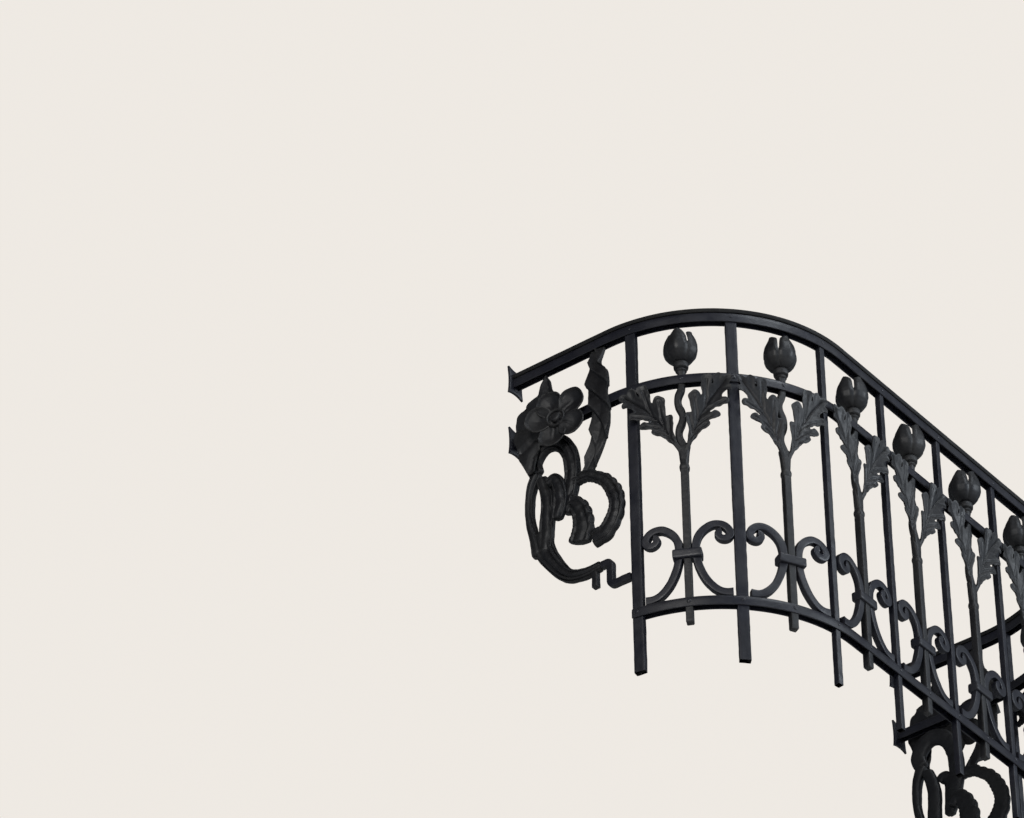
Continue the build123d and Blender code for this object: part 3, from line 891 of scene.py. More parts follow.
def lobe_line(root, across, along, radius):
    """Line of a lobe's vein, swept forward from the midrib to the middle of the lobe's round end."""
    start = root * LEAF_LENGTH
    end_x = across - copysign(radius * 0.8, across)
    end_y = along - radius * 0.6
    shares = ((0, 0), (0.34, 0.46), (0.72, 0.78), (1, 1))
    return [(end_x * out, start + up * (end_y - start)) for out, up in shares]


def leaf_field(x, y):
    """How deep a point lies inside the leaf; X is across and Y along the midrib."""
    fields = [rod(x, y, *part) for part in BLADE]
    for lobe in LOBES:
        line = lobe_line(*lobe)
        sizes = [lobe[3] * part for part in (0.9, 0.74, 0.84, 1.0)]
        for number in range(3):
            fields.append(rod(x, y, line[number], line[number + 1], sizes[number], sizes[number + 1]))
    ripple = 0.8 * np.sin(y * 0.33 + x * 0.14) * limited(y / 90)
    return joined(fields, 1.8) + ripple - 0.8


def leaf_height(up):
    """Height of the back of a leaf over the level of its foot, clear of stem and rail."""
    rise = MID_RAIL_FOOT - FORK + 8
    ups = (-20, 8, rise * 0.18, rise * 0.93, LEAF_LENGTH)
    heights = (-1.75, -1.75, 1.9, 6.4, 14.4)
    return sum(np.interp(up + shift, ups, heights) for shift in (-9, -4.5, 0, 4.5, 9)) / 5


class RAILING_OT_leaves(bpy.types.Operator):
    """Cuts, veins and bends the sixteen lobed leaves"""
    bl_idname = "railing.leaves"
    bl_label = "Leaves"

    def execute(self, context):
        sizes = context.scene.railing_iron
        vein, fold = sizes.vein / MM, sizes.fold / MM
        (across, along), sheet = cut_sheet(leaf_field, (-60, -10), (56, LEAF_LENGTH + 22), LEAF_CELL)
        depth = leaf_field(across, along)
        veins = [[(0, 0), (0, 0.95 * LEAF_LENGTH)]] + [lobe_line(*lobe) for lobe in LOBES]
        near = away(across, along, veins)
        middle = np.abs(across)
        blade = limited((along - 25) / 40)
        relief = fold * (1 - bell(middle, 17)) * blade
        relief += 2.0 * bell(depth, 4.0) * blade
        relief += 2.2 * limited(1 - near / 9) * limited(middle / 14 - 0.6)
        relief -= 1.9 * vein * bell(near, 2.3) * np.clip(along / 40, 0.25, 1)
        relief += 1.3 * np.sin(along * 0.09 + across * 0.16) * limited(middle / 30)
        stalk = 5.0 * (1 - blade) * np.sqrt(limited(1 - (across / 6.4) ** 2)) * limited((along + 2) / 26)
        thick = LEAF_PLATE * thinned(depth, 5.5, 0.42)
        for number, run in enumerate(STEM_RUNS):
            iron = Iron()
            hinge = degrees(asin(LEAF_SPAN / 2 / CORNER_RADIUS)) if abs(run) > FRONT_RUN / 2 else 0
            for side in (-1, 1):
                outer = (number, side) in ((0, -1), (len(STEM_RUNS) - 1, 1))
                lean, bend = (16, 38) if outer else (9, 32)
                wobble = 1.4 * sin(number * 2.7 + side)
                x, y, here = rib_line(along, lean + wobble * 0.4, bend)
                x += across * np.cos(here)
                y = (y - across * np.sin(here)) * 0.97
                clear = BAR / 2 + 0.4 + 4 / cos(radians(lean))
                if not outer:
                    # The outermost points of an inner leaf are drawn in, to stay in its own bay
                    ease = 6
                    limit = BAY / 2 - 2 - clear - ease
                    x = np.where(x > limit, limit + ease * np.tanh((x - limit) / ease), x)
                x -= 7 * limited(1 - along / 48) ** 1.3
                curl = 2.5 * limited((along - 190) / 45) ** 2 * (1 + 0.6 * sin(number * 3.3 + side))
                level = leaf_height(y) + LEAF_PLATE / 2 + curl
                place = shifted(clear, FORK - 8, LEAF_ROOT) @ turned("Y", hinge)
                if side < 0:
                    place = flipped() @ place
                front = level + relief + thick / 2 + stalk
                back = level + relief * 0.8 - thick / 2
                iron.cut(sheet, x, y, front, back, station(run) @ place)
            name = f"leaf_pair_{number + 1}"
            forge(f"{name}_forging", iron, "forged_paint", [name], depth=0.5, grain=20, crease=60)
        return {"FINISHED"}


def spots_mesh(name, spots):
    """Loose points with the directions that point outward and along the rail."""
    mesh = bpy.data.meshes.new(name)
    mesh.from_pydata([tuple(np.asarray(point) * MM) for point, _, _ in spots], [], [])
    for label, column in (("outward", 1), ("along", 2)):
        layer = mesh.attributes.new(label, "FLOAT_VECTOR", "POINT")
        layer.data.foreach_set("vector", [float(part) for spot in spots for part in spot[column]])
    return mesh


def rail_spot(run, level, out):
    """A spot on the outer face of a rail or bar, with its directions."""
    place = station(run)
    return (place @ np.array([0, level, out, 1]))[:3], place[:3, 2], place[:3, 0]


def instancing_tree(name, fittings):
    """Starts a tree that sets a shape on every spot, turned by the spot's directions."""
    tree = bpy.data.node_groups.new(name, "GeometryNodeTree")
    enter, leave = group_sockets(tree, [("Geometry", GEOMETRY, None), *fittings], [("Geometry", GEOMETRY)])
    turn = None
    for axis, label in (("Z", "outward"), ("X", "along")):
        direction = node(tree, "GeometryNodeInputNamedAttribute", {"Name": label}, data_type="FLOAT_VECTOR")
        align = node(tree, "FunctionNodeAlignRotationToVector",
                     {"Vector": direction.outputs["Attribute"]}, axis=axis)
        if turn is not None:
            align.pivot_axis = "Z"
            tree.links.new(turn, align.inputs["Rotation"])
        turn = align.outputs["Rotation"]
    spots = {"Points": enter.outputs["Geometry"], "Rotation": turn}
    setter = node(tree, "GeometryNodeInstanceOnPoints", spots)
    whole = node(tree, "GeometryNodeRealizeInstances", {"Geometry": setter.outputs["Instances"]})
    coat = node(tree, "GeometryNodeSetMaterial", {"Geometry": whole.outputs["Geometry"]})
    tree.links.new(enter.outputs["Paint"], coat.inputs["Material"])
    tree.links.new(coat.outputs["Geometry"], leave.inputs["Geometry"])
    return tree, enter, setter


def rivet_tree():
    """Low rivet heads of uneven size."""
    tree, enter, setter = instancing_tree("rivet_heads", [
        ("Head radius", FLOAT, 0.004), ("Head height", FLOAT, 0.002), ("Unevenness", FLOAT, 0.14),
        ("Seed", "NodeSocketInt", 7), ("Paint", MATERIAL, None)])
    head = node(tree, "GeometryNodeMeshUVSphere", {"Segments": 16, "Rings": 10, "Radius": 1.0})
    radius = enter.outputs["Head radius"]
    size = node(tree, "ShaderNodeCombineXYZ", {"X": radius, "Y": radius, "Z": enter.outputs["Head height"]})
    shaped = node(tree, "GeometryNodeTransform",
                  {"Geometry": head.outputs["Mesh"], "Scale": size.outputs["Vector"]})
    scale = node(tree, "FunctionNodeRandomValue", {"Seed": enter.outputs["Seed"]}, data_type="FLOAT")
    low, high = [socket for socket in scale.inputs if socket.enabled][:2]
    tree.links.new(math(tree, "SUBTRACT", 1.0, enter.outputs["Unevenness"]), low)
    tree.links.new(math(tree, "ADD", 1.0, enter.outputs["Unevenness"]), high)
    value = next(socket for socket in scale.outputs if socket.enabled)
    tree.links.new(shaped.outputs["Geometry"], setter.inputs["Instance"])
    tree.links.new(value, setter.inputs["Scale"])
    return tree


def scroll_tree():
    """Half scrolls set out along the bottom rail."""
    tree, enter, setter = instancing_tree("scroll_pairs", [
        ("Half scroll", "NodeSocketObject", None), ("Paint", MATERIAL, None)])
    half = node(tree, "GeometryNodeObjectInfo", {"Object": enter.outputs["Half scroll"]})
    tree.links.new(half.outputs["Geometry"], setter.inputs["Instance"])
    return tree


def grow(name, spots, tree, values):
    """Makes a plain mesh from spots and a tree, with the tree's inputs set by their names."""
    piece = added(name, spots_mesh(name, spots))
    modifier = piece.modifiers.new(name, "NODES")
    modifier.node_group = tree
    for item in tree.interface.items_tree:
        if item.item_type == "SOCKET" and item.in_out == "INPUT" and item.name in values:
            modifier[item.identifier] = values[item.name]
    depsgraph = bpy.context.evaluated_depsgraph_get()
    mesh = bpy.data.meshes.new_from_object(piece.evaluated_get(depsgraph), depsgraph=depsgraph)
    piece.modifiers.clear()
    piece.data = mesh
    return piece


def scroll_turn(run):
    """Turn of a half scroll about its own upright that keeps its foot over a curved rail."""
    if abs(run) < FRONT_RUN / 2:
        return 0
    return degrees(asin(FOOT_REACH ** 2 / (2 * CORNER_RADIUS) / (FOOT_REACH - SCROLL_OFFSET)))


# The right half of a scroll pair: its leg from the foot up, then its bends as radius and turn
SCROLL_LEG = [(FOOT_REACH, 181), (86, 181), (74, 183.5), (62, 190.5), (50, 202.5), (38.5, 219), (29, 240),
              (22.2, 262), (18.6, 285), (18.4, 306)]
SCROLL_BENDS = [(66, -60), (30, -108), (13.6, -180), (9.5, -92)]
SCROLL_GROUPS = (("left_corner_scrolls", STEM_RUNS[:2]), ("front_scrolls", STEM_RUNS[2:6]),
                 ("right_corner_scrolls", STEM_RUNS[6:]))


def half_scroll():
    """Iron of the right half of a scroll pair, about its own upright."""
    leg, heading = curve(SCROLL_LEG, 48)
    line = [(point[0], point[1], atan2(ahead[1], ahead[0])) for point, ahead in zip(leg, heading)]
    x, y, angle = line[-1]
    line += walk((x, y), degrees(angle), SCROLL_BENDS, SCROLL_STEP)[1:]
    line = [(x - SCROLL_OFFSET, y, angle) for x, y, angle in line]

    def stretch(share):
        foot = 1 + 0.14 * max(0, 1 - share / 0.05)
        eye = 1 - 0.18 * max(0, (share - 0.88) / 0.12)
        return foot * eye, 1 + 0.05 * max(0, 1 - share / 0.035)
    iron = Iron()
    iron.skin(bent_rows(line, bar_section(SCROLL_BAR + 2.4, BAR, edge=2.0), stretch))
    return iron


class RAILING_OT_scrolls(bpy.types.Operator):
    """Bends one half scroll and sets it out in every bay"""
    bl_idname = "railing.scrolls"
    bl_label = "Scrolls"

    def execute(self, context):
        half = added("half_scroll", iron_mesh("half_scroll", half_scroll(), depth=0, grain=1))
        tree = scroll_tree()
        values = {"Half scroll": half, "Paint": bpy.data.materials["bar_paint"]}
        for name, runs in SCROLL_GROUPS:
            spots = []
            for run in runs:
                for side in (-1, 1):
                    angle = scroll_turn(run) if side > 0 else 180 - scroll_turn(run)
                    place = station(run) @ shifted(side * SCROLL_OFFSET) @ turned("Y", angle)
                    spots.append((place[:3, 3], place[:3, 2], place[:3, 0]))
            piece = grow(f"{name}_forging", spots, tree, values)
            finish_mesh(piece.data, depth=0.4, grain=22)
            settle(piece, [name])
        bpy.data.objects.remove(half)
        return {"FINISHED"}


# Heights over the collar's foot, with width and depth factors
COLLAR_SHAPE = [(0, 0.93, 0.84), (0.5, 0.965, 0.92), (2, 0.99, 0.98), (4.6, 1, 1), (8.05, 1, 1), (11.5, 1, 1),
                (14.95, 1, 1), (18.4, 1, 1), (21, 0.99, 0.98), (22.5, 0.965, 0.92), (COLLAR_HEIGHT, 0.93, 0.84)]


class RAILING_OT_collars(bpy.types.Operator):
    """Closes a strap round each stem and its two scrolls"""
    bl_idname = "railing.collars"
    bl_label = "Collars"

    def execute(self, context):
        iron = Iron()
        levels = raised(COLLAR_LEVEL - COLLAR_HEIGHT / 2, COLLAR_SHAPE)
        for run in STEM_RUNS:
            turn = radians(scroll_turn(run))
            width = 2 * SCROLL_OFFSET + SCROLL_BAR * cos(turn) + BAR * sin(turn) + COLLAR_WALLS
            depth = BAR * cos(turn) + SCROLL_BAR * sin(turn) + COLLAR_WALLS
            section = bar_section(width, depth, edge=2.6, sides=5)
            iron.skin(upright_rows(section, levels), station(run))
        forge("collars_forging", iron, "bar_paint", ["collars"], depth=0.55, grain=16)
        return {"FINISHED"}


# Strands of the vine: places on the panel, widths, half depth, scallops, ridges and how far out it lies
STRANDS = {
    "stalk": ([(0.279, 0.1), (0.427, 0.096), (0.576, 0.136), (0.733, 0.29), (0.785, 0.42)],
              [24, 30, 38, 50, 60], 9, 0, 3, 0),
    "outer": ([(0.80, 0.30), (0.866, 0.497), (0.873, 0.595), (0.855, 0.682), (0.807, 0.754)],
              [34, 22, 19, 22, 32], 10, 0, 1, 0),
    "inner": ([(0.752, 0.30), (0.72, 0.526), (0.725, 0.614), (0.766, 0.712)], [40, 38, 35, 28], 10, 0, 1, 0),
    "arch": ([(0.807, 0.741), (0.834, 0.809), (0.777, 0.871), (0.688, 0.889), (0.593, 0.858),
              (0.528, 0.78), (0.51, 0.692), (0.516, 0.614), (0.534, 0.536)],
             [36, 43, 45, 43, 41, 41, 42, 41, 34], 10, 0, 2, 0),
    "curl": ([(0.572, 0.462), (0.535, 0.497), (0.482, 0.489), (0.439, 0.425), (0.432, 0.345), (0.468, 0.274)],
             [26, 36, 46, 54, 60, 62], 10, 7, 2, 0),
    "joint": ([(0.52, 0.64), (0.53, 0.56), (0.53, 0.50)], [38, 36, 26], 9, 0, 1, 0),
    "scallop": ([(0.52, 0.62), (0.386, 0.618), (0.309, 0.589), (0.226, 0.542), (0.16, 0.458),
                 (0.145, 0.392), (0.175, 0.324), (0.249, 0.269), (0.345, 0.262)],
                [28, 28, 27, 32, 38, 40, 46, 50, 50], 9, 13, 2, 0),
    "tongue": ([(0.69, 0.645), (0.636, 0.662), (0.598, 0.617), (0.588, 0.555), (0.593, 0.505), (0.618, 0.435)],
               [24, 28, 33, 38, 38, 26], 8.5, 0, 1, 11.5),
}


def strand_rows(places, widths, half_depth, scallops, ridges, lift, ridge, dent):
    """Rows of a forged strand along its places, ridged in front and scalloped along its outer edge."""
    shares = np.linspace(0, 1, len(widths))
    line, heading = curve([panel_point(*place) for place in places], max(30, len(places) * STRAND_ROWS))
    rows = []
    for number, (point, ahead) in enumerate(zip(line, heading)):
        share = number / (len(line) - 1)
        width = float(np.interp(share, shares, widths)) / 2 + 0.8
        ends = min(1, sqrt(share / 0.02 + 0.1), sqrt((1 - share) / 0.03 + 0.3))
        row = []
        for angle in ring_turns(STRAND_SIDES):
            side, face = cos(angle), sin(angle)
            across = copysign(abs(side) ** 0.72, side) * width * ends
            if scallops:
                beat, size = (1.0, 3.4) if side > 0 else (1.6, 1.8)
                across += size * (abs(sin(pi * beat * scallops * share)) - 0.5) * side
            out = copysign(abs(face) ** 0.8, face) * half_depth * (0.45 + 0.55 * ends)
            if face > 0:
                wave = 2 * abs(cos(0.5 * pi * (ridges + 1) * side + 0.3 * sin(6 * share))) ** 0.7 - 1
                out += ridge * wave * min(1, 2.2 * face)
                out += dent * sin(1.7 * pi * max(scallops, 3) * share + side * 3.0) * face
                out += 0.5 * dent * cos(5 * pi * side + 2 * sin(9 * share)) * face
            row.append((point[0] - ahead[1] * across, point[1] + ahead[0] * across, out + lift))
        rows.append(row)
    return rows


class RAILING_OT_vines(bpy.types.Operator):
    """Forges the vine of each end panel: stalk, parted strands, arch, curls, tongue and foot"""
    bl_idname = "railing.vines"
    bl_label = "Vines"

    def execute(self, context):
        sizes = context.scene.railing_iron
        strands = [strand_rows(*strand, sizes.ridge / MM, sizes.dent / MM) for strand in STRANDS.values()]
        foot = upright_rows(bar_section(BAR, BAR, edge=2), steps(VINE_FOOT, VINE_FOOT_TOP, 8))

        def fill(iron, place):
            for rows in strands:
                iron.skin(rows, place)
            iron.skin(foot, place @ shifted(-113))
        forge_ends("vine", "forging", "forged_paint", fill, depth=0.8, grain=18, crease=50)
        return {"FINISHED"}


# Both edges of the ribbon leaf, from the top rail down to its tip on the vine
RIBBON_LEFT = [(0.32, 2), (0.329, 1.622), (0.335, 1.27), (0.297, 0.926), (0.32, 0.809), (0.365, 0.721),
               (0.45, 0.625)]
RIBBON_RIGHT = [(0.211, 2), (0.237, 1.682), (0.178, 1.486), (0.16, 1.25), (0.166, 1.007), (0.151, 0.92),
                (0.166, 0.827), (0.235, 0.731), (0.365, 0.615)]


def ribbon_grids():
    """Front and back of the pleated ribbon leaf, which passes in front of the middle rail."""
    left = curve([panel_point(*place) for place in RIBBON_LEFT], RIBBON_ROWS)[0]
    right = curve([panel_point(*place) for place in RIBBON_RIGHT], RIBBON_ROWS)[0]
    levels = (600, 690, 762, 788, 850, TOP_RAIL_FOOT)
    backs = (-7, 6, 11.6, 11.6, 7, -5)
    front, back = [], []
    for number, (a, b) in enumerate(zip(left, right)):
        share = number / (RIBBON_ROWS - 1)
        row_front, row_back = [], []
        for across in np.linspace(0, 1, RIBBON_COLUMNS):
            phase = (share * 5.3 - across * 1.25 + 0.3) % 1.0
            pleat = 12 * phase ** 1.5 if phase < 0.88 else 12 * (0.826 - (phase - 0.88) * 6.88)
            point = a + (b - a) * (across + 0.15 * (phase - 0.5) * (across - 0.5))
            rear = float(np.interp(point[1], levels, backs))
            hollow = 3.0 * (2 * across - 1) ** 2 - 1.6 * bell(across - 0.5, 0.10)
            thick = 3.4 + 2.6 * (1 - abs(2 * across - 1) ** 6)
            row_front.append((point[0], point[1], rear + 3 + pleat + hollow + thick / 2))
            row_back.append((point[0], point[1], rear + min(0.3 * pleat, 2) + 0.2))
        front.append(row_front)
        back.append(row_back)
    return front, back


class RAILING_OT_ribbon_leaves(bpy.types.Operator):
    """Twists the long leaf that hangs from the top rail in each end panel"""
    bl_idname = "railing.ribbon_leaves"
    bl_label = "Ribbon leaves"

    def execute(self, context):
        front, back = ribbon_grids()

        def fill(iron, place):
            iron.shell(front, back, place)
        forge_ends("ribbon_leaf", "forging", "forged_paint", fill, depth=0.7, grain=20, crease=60)
        return {"FINISHED"}


def flower_petal(iron, rim, reach, place):
    """One round petal, dished, with a turned-up rim and a crease from the ring outwards."""
    length, width = 34.5, 35
    centre = reach - length

    def field(x, y):
        oval = np.sqrt(((x - centre) / length) ** 2 + (y / width) ** 2)
        root = rod(x, y, (0, 0), (centre, 0), 10, 20)
        return joined([(1 - oval) * length, root], 2.5) + 0.7 * np.sin(np.arctan2(y, x - centre) * 5)
    (x, y), sheet = cut_sheet(field, (-22, -42), (94, 42), PETAL_CELL)
    depth = field(x, y)
    dish = -8.5 * np.exp(-(((x - centre - 4) / 22) ** 2 + (y / 23) ** 2))
    lip = 1.5 * rim * bell(depth - 1.6, 3.4) * limited((x - 14) / 30)
    crease = (1.5 * bell(np.abs(y) - 5.5, 3.0) - 1.8 * bell(y, 2.4)) * limited(1 - (x - 20) / 42)
    height = dish + lip + crease + 4.5
    thick = 3.5 * thinned(depth, 5, 0.5)
    iron.cut(sheet, x, y, height + thick / 2, height - thick / 2, place)


# The flower: each petal's turn, reach and lift, and the ring and boss as radii and heights
FLOWER_PETALS = ((38, 88, 0), (-36, 87, 2.2), (-102, 82, -1.2), (-190, 79, 1), (110, 80, -2.2))
FLOWER_RING = [(8, 2), (22, 2), (24.4, 4.5), (25.2, 8), (24.4, 11.6), (22.2, 13.8), (19.8, 13.2), (18.2, 10),
               (17, 5), (15, 3), (13.4, 4.4), (12.6, 9), (11.8, 13.4), (10, 15.6), (7.6, 16.4), (4, 16.6),
               (1, 16.6)]


class RAILING_OT_flowers(bpy.types.Operator):
    """Makes the flower of each end panel, with its ring, boss and the leaves behind"""
    bl_idname = "railing.flowers"
    bl_label = "Flowers"

    def execute(self, context):
        rim = context.scene.railing_iron.rim / MM
        out, level = panel_point(*FLOWER_PLACE)
        rise = TOP_RAIL_FOOT - level
        tip = (-40, 0.90 * rise)
        rods = [((-40, 0.54 * rise), (-40, 0.74 * rise), 23, 12), ((-40, 0.74 * rise), tip, 12, 1.5),
                ((-26, 0.2 * rise), (-40, 0.48 * rise), 32, 25), ((-76, 0.42 * rise), (-60, 0.48 * rise), 24, 18),
                ((-94, 0.28 * rise), (-97, 6), 30, 32), ((-97, 6), (-90, -50), 32, 27),
                ((-90, -50), (-86, -98), 27, 13), ((-40, -10), (-10, 0), 34, 30)]

        def leaf(x, y):
            return joined([rod(x, y, *part) for part in rods], 2.2) + 0.9 * np.sin(x * 0.18 + y * 0.15)
        (x, y), sheet = cut_sheet(leaf, (-136, -120), (30, 170), FLOWER_LEAF_CELL)
        depth = leaf(x, y)
        veins = [[(0, 0), (-30, 0.42 * rise), tip], [(-20, 10), (-62, 52), (-98, 84)],
                 [(-20, 0), (-78, 20), (-124, 30)], [(-20, -10), (-76, -20), (-112, -40)],
                 [(-40, -30), (-78, -62), (-88, -104)]]
        near = away(x, y, veins)
        face = 4.6 * limited(near / 14) + 2.2 * bell(depth, 4) - 1.8 * bell(near, 2.4)
        thick = 3.5 * thinned(depth, 5, 0.45)
        forward = 11.6 + 4.5 * limited(-x / 90)

        def fill(iron, place):
            place = place @ shifted(out, level)
            head = place @ shifted(z=FLOWER_SEAT) @ turned("Y", 10)
            iron.cut(sheet, x, y, forward + face + thick, forward + face * 0.7, place)
            iron.skin(disc_rows([(10, 11), (10, 33)], DISC_SIDES // 2), place)
            for angle, reach, lift in FLOWER_PETALS:
                flower_petal(iron, rim, reach, head @ shifted(z=lift) @ turned("Z", angle) @ turned("Y", -6))
            iron.skin(disc_rows(FLOWER_RING), head)
        forge_ends("flower", "forging", "forged_paint", fill, depth=0.6, grain=20, crease=50)
        return {"FINISHED"}


class RAILING_OT_foot_brackets(bpy.types.Operator):
    """Bends the bar that carries each vine from the end post"""
    bl_idname = "railing.foot_brackets"
    bl_label = "Foot brackets"

    def execute(self, context):
        width, bend, level, joggle, reach = 18, 10.8, 262, 70, 94
        lead = POST_LEAD / CORNER_RADIUS
        start = FLAT / 2 * cos(lead) + BAR / 2 * sin(lead) + 0.4
        moves = [(joggle - start - bend, 0), (bend, -90), (VINE_FOOT_TOP - level - 2 * bend, 0), (bend, 90),
                 (reach - joggle - bend, 0)]
        rows = bent_rows(walk((-start, level), 180, moves, BRACKET_STEP), bar_section(width, BAR, edge=2.2))

        def fill(iron, place):
            iron.skin(rows, place)
        forge_ends("foot_bracket", "bar", "bar_paint", fill, depth=0.5, grain=18)
        return {"FINISHED"}


def waisted_outline(half_x, half_y, waist, parts=12):
    """Outline of a plate whose four sides bow inwards to a waist."""
    outline = []
    for cx, cy in ((1, 1), (-1, 1), (-1, -1), (1, -1)):
        for part in range(parts):
            share = part / parts
            narrow = 1 - (1 - waist) * 4 * share * (1 - share)
            x = half_x * (cx + (-cy - cx) * share)
            y = half_y * (cy + (cx - cy) * share)
            outline.append((x, y * narrow) if cx != -cy else (x * narrow, y))
    return outline


class RAILING_OT_wall_flanges(bpy.types.Operator):
    """Hammers the waisted plates that end the rails"""
    bl_idname = "railing.wall_flanges"
    bl_label = "Wall flanges"

    def execute(self, context):
        outline = waisted_outline(26, 38, 0.86)
        for side, name in SIDES:
            iron = Iron()
            for level in FLANGE_LEVELS:
                rows = []
                for height, size in ((0, 1), (4.6, 1), (5.6, 0.985), (PLATE, 0.955), (PLATE + 0.1, 0.6)):
                    rows.append([(side * SIDE_X + x * size, WALL_Y - height, level + y * size)
                                 for x, y in outline])
                iron.skin(rows)
            name = f"{name}_wall_flange"
            forge(f"{name}_plates", iron, "bar_paint", [f"{name}s"], depth=0.3, grain=20)
        return {"FINISHED"}


class RAILING_OT_rivets(bpy.types.Operator):
    """Sets rivet heads on the rails at every bar and screws in the end plates"""
    bl_idname = "railing.rivets"
    bl_label = "Rivets and screws"

    def execute(self, context):
        sizes = context.scene.railing_iron
        rivets = []
        lower = (BOTTOM_RAIL_TOP, MID_RAIL_TOP)
        for run in POST_RUNS + STEM_RUNS:
            for top in (*lower, TOP_RAIL_TOP) if run in POST_RUNS else lower:
                rivets.append(rail_spot(run, top - RAIL_HEIGHT / 2, RAIL_DEPTH / 2))
        screws = []
        for side, _ in SIDES:
            for level in FLANGE_LEVELS:
                for step in (-SCREW_GAP / 2, SCREW_GAP / 2):
                    screws.append(((side * SIDE_X, WALL_Y - PLATE, level + step), (0, -1, 0), (1, 0, 0)))
        tree = rivet_tree()
        common = {"Seed": sizes.seed, "Paint": bpy.data.materials["bar_paint"]}
        kinds = [("rail_rivets", rivets, sizes.rivet, sizes.rivet * 0.42, 0.14),
                 ("wall_screws", screws, 0.0052, 0.0028, 0.05)]
        for name, spots, radius, height, unevenness in kinds:
            values = {"Head radius": radius, "Head height": height, "Unevenness": unevenness, **common}
            piece = grow(name, spots, tree, values)
            settle(piece, [])
            piece.data.shade_smooth()
        return {"FINISHED"}


def tilted_camera(stage):
    """The camera, from its place, heading, pitch and roll."""
    data = bpy.data.cameras.new("street_camera")
    data.sensor_width = 36
    data.lens = stage.lens / MM
    data.clip_end = 100
    camera = added("street_camera", data)
    flat = cos(stage.pitch)
    ahead = Vector((flat * sin(stage.heading), flat * cos(stage.heading), sin(stage.pitch)))
    right = Vector((cos(stage.heading), -sin(stage.heading), 0))
    up = right.cross(ahead)
    tilted = right * cos(stage.roll) + up * sin(stage.roll)
    upright = up * cos(stage.roll) - right * sin(stage.roll)
    turn = Matrix((tilted, upright, -ahead)).transposed()
    camera.matrix_world = Matrix.Translation(Vector(stage.place)) @ turn.to_4x4()
    return camera


def floor_material(colour):
    """Pale floor that fades out with distance and is clear from below."""
    material = bpy.data.materials.new("pale_floor")
    material.use_nodes = True
    tree = material.node_tree
    shader = tree.nodes["Principled BSDF"]
    place = tree.nodes.new("ShaderNodeTexCoord").outputs["Object"]
    cloud = spread(tree, clouds(tree, place, 1.3, 3.0), 0.3, 0.7)
    tint = blended(tree, cloud, (*colour, 1), (*[part * 1.03 for part in colour], 1))
    tree.links.new(tint, shader.inputs["Base Color"])
    shader.inputs["Roughness"].default_value = 0.9
    under = tree.nodes.new("ShaderNodeNewGeometry").outputs["Backfacing"]
    clear = tree.nodes.new("ShaderNodeBsdfTransparent")
    distance = node(tree, "ShaderNodeVectorMath", {0: place}, operation="LENGTH").outputs["Value"]
    open_air = math(tree, "MAXIMUM", under, spread(tree, distance, 2.0, 6.0))
    mix = node(tree, "ShaderNodeMixShader",
               {"Fac": open_air, 1: shader.outputs["BSDF"], 2: clear.outputs["BSDF"]})
    tree.links.new(mix.outputs["Shader"], tree.nodes["Material Output"].inputs["Surface"])
    return material


def soft_sky(backdrop):
    """Cool light from low in front, behind a plain backdrop that only the camera sees."""
    world = bpy.data.worlds.new("soft_sky")
    world.use_nodes = True
    tree = world.node_tree
    light = tree.nodes["Background"]
    view = tree.nodes.new("ShaderNodeTexCoord").outputs["Generated"]
    toward = node(tree, "ShaderNodeSeparateXYZ", {"Vector": view})
    level = math(tree, "ABSOLUTE", math(tree, "SUBTRACT", toward.outputs["Z"], 0.12))
    low = spread(tree, level, 0.0, 0.55, 1.0, 0.0)
    street = spread(tree, toward.outputs["Y"], 0.6, -0.8, 0.25, 1.0)
    sky = blended(tree, math(tree, "MULTIPLY", low, street, True), (0.05, 0.045, 0.04, 1), (0.76, 0.87, 1.0, 1))
    tree.links.new(sky, light.inputs["Color"])
    light.inputs["Strength"].default_value = 0.8
    wall = node(tree, "ShaderNodeBackground", {"Color": (*backdrop, 1), "Strength": 1.0})
    path = tree.nodes.new("ShaderNodeLightPath")
    shown = math(tree, "MAXIMUM", path.outputs["Is Camera Ray"], path.outputs["Is Transmission Ray"])
    mix = node(tree, "ShaderNodeMixShader",
               {"Fac": shown, 1: light.outputs["Background"], 2: wall.outputs["Background"]})
    tree.links.new(mix.outputs["Shader"], tree.nodes["World Output"].inputs["Surface"])
    return world


# Each lamp's name, place, size, power and colour, and the point that all of them face
LAMPS = (("street_light", (1.6, -4.8, 2.0), 1.8, 125, (0.86, 0.93, 1.0)),
         ("side_light", (-4.8, -1.0, 1.6), 1.4, 60, (1.0, 0.97, 0.93)),
         ("sky_light", (-0.8, -2.6, 4.2), 2.0, 60, (0.88, 0.94, 1.0)))
LAMP_AIM = (0, 0.2, 0.55)


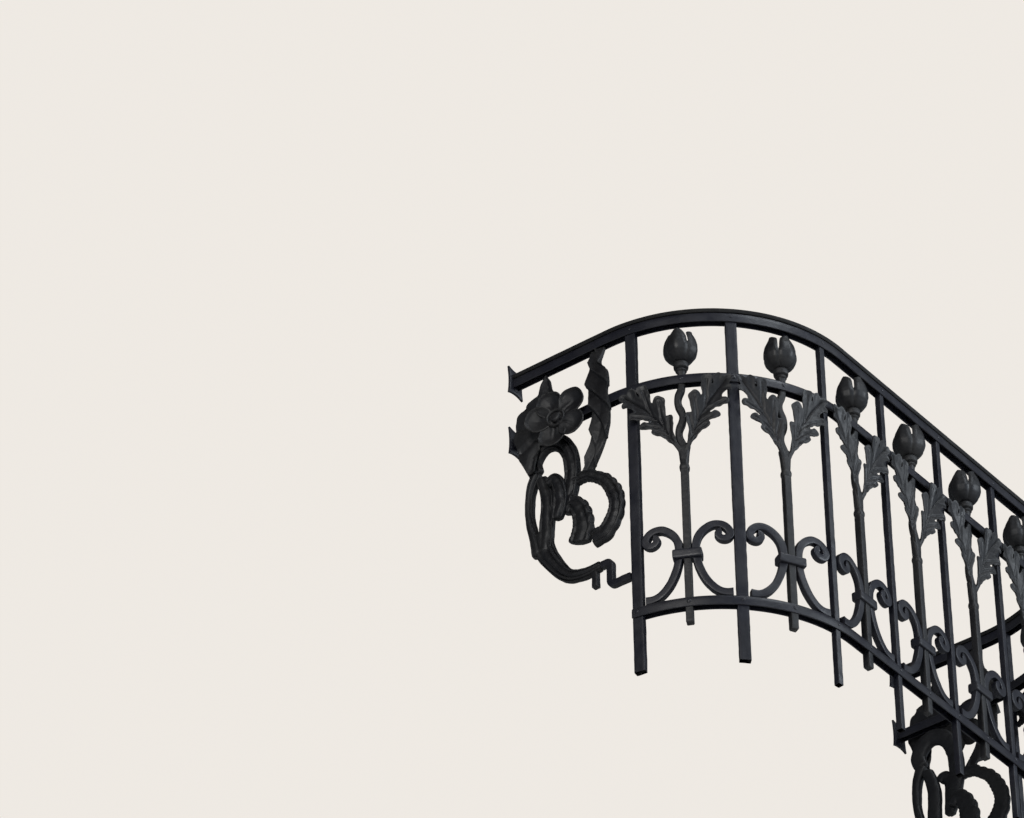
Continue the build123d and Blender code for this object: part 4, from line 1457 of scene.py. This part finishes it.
class RAILING_OT_stage(bpy.types.Operator):
    """Lays the floor, hangs the soft lights and sets the camera below and in front"""
    bl_idname = "railing.stage"
    bl_label = "Stage"

    def execute(self, context):
        stage = context.scene.railing_stage
        mesh = bpy.data.meshes.new("floor")
        reach = 7.0
        corners = [(x * reach, y * reach, 0) for x, y in ((-1, -1), (1, -1), (1, 1), (-1, 1))]
        mesh.from_pydata(corners, [], [(0, 1, 2, 3)])
        mesh.materials.append(floor_material(stage.floor_colour))
        floor = added("floor", mesh)
        context.scene.world = soft_sky(stage.backdrop)
        for name, spot, size, power, colour in LAMPS:
            data = bpy.data.lights.new(name, "AREA")
            data.shape = "DISK"
            data.size = size
            data.energy = power
            data.color = colour
            lamp = added(name, data)
            lamp.location = spot
            lamp.rotation_euler = (Vector(spot) - Vector(LAMP_AIM)).to_track_quat("Z", "Y").to_euler()
        context.scene.camera = tilted_camera(stage)
        context.scene.view_settings.view_transform = "Standard"
        return {"FINISHED"}


class RAILING_PT_sidebar(bpy.types.Panel):
    """Lists the steps that make the railing and the sizes and paints to change"""
    bl_idname = "RAILING_PT_sidebar"
    bl_label = "Balcony railing"
    bl_space_type = "VIEW_3D"
    bl_region_type = "UI"
    bl_category = "Railing"

    def draw(self, context):
        layout = self.layout
        for group in (context.scene.railing_iron, context.scene.railing_paint, context.scene.railing_stage):
            box = layout.box()
            for name in group.__annotations__:
                box.prop(group, name)
        for operator in OPERATORS:
            layout.operator(operator.bl_idname)


OPERATORS = (
    RAILING_OT_paints, RAILING_OT_rails, RAILING_OT_posts, RAILING_OT_bud_stems, RAILING_OT_leaves,
    RAILING_OT_scrolls, RAILING_OT_collars, RAILING_OT_vines, RAILING_OT_ribbon_leaves, RAILING_OT_flowers,
    RAILING_OT_foot_brackets, RAILING_OT_wall_flanges, RAILING_OT_rivets, RAILING_OT_stage,
)
GROUPS = (("railing_iron", RailingIron), ("railing_paint", RailingPaint), ("railing_stage", RailingStage))


def register():
    for name, group in GROUPS:
        bpy.utils.register_class(group)
        setattr(bpy.types.Scene, name, bpy.props.PointerProperty(type=group))
    for operator in OPERATORS:
        bpy.utils.register_class(operator)
    bpy.utils.register_class(RAILING_PT_sidebar)


def unregister():
    bpy.utils.unregister_class(RAILING_PT_sidebar)
    for operator in reversed(OPERATORS):
        bpy.utils.unregister_class(operator)
    for name, group in reversed(GROUPS):
        delattr(bpy.types.Scene, name)
        bpy.utils.unregister_class(group)


def main():
    register()
    for operator in OPERATORS:
        family, name = operator.bl_idname.split(".")
        getattr(getattr(bpy.ops, family), name)()


if __name__ == "__main__":
    main()
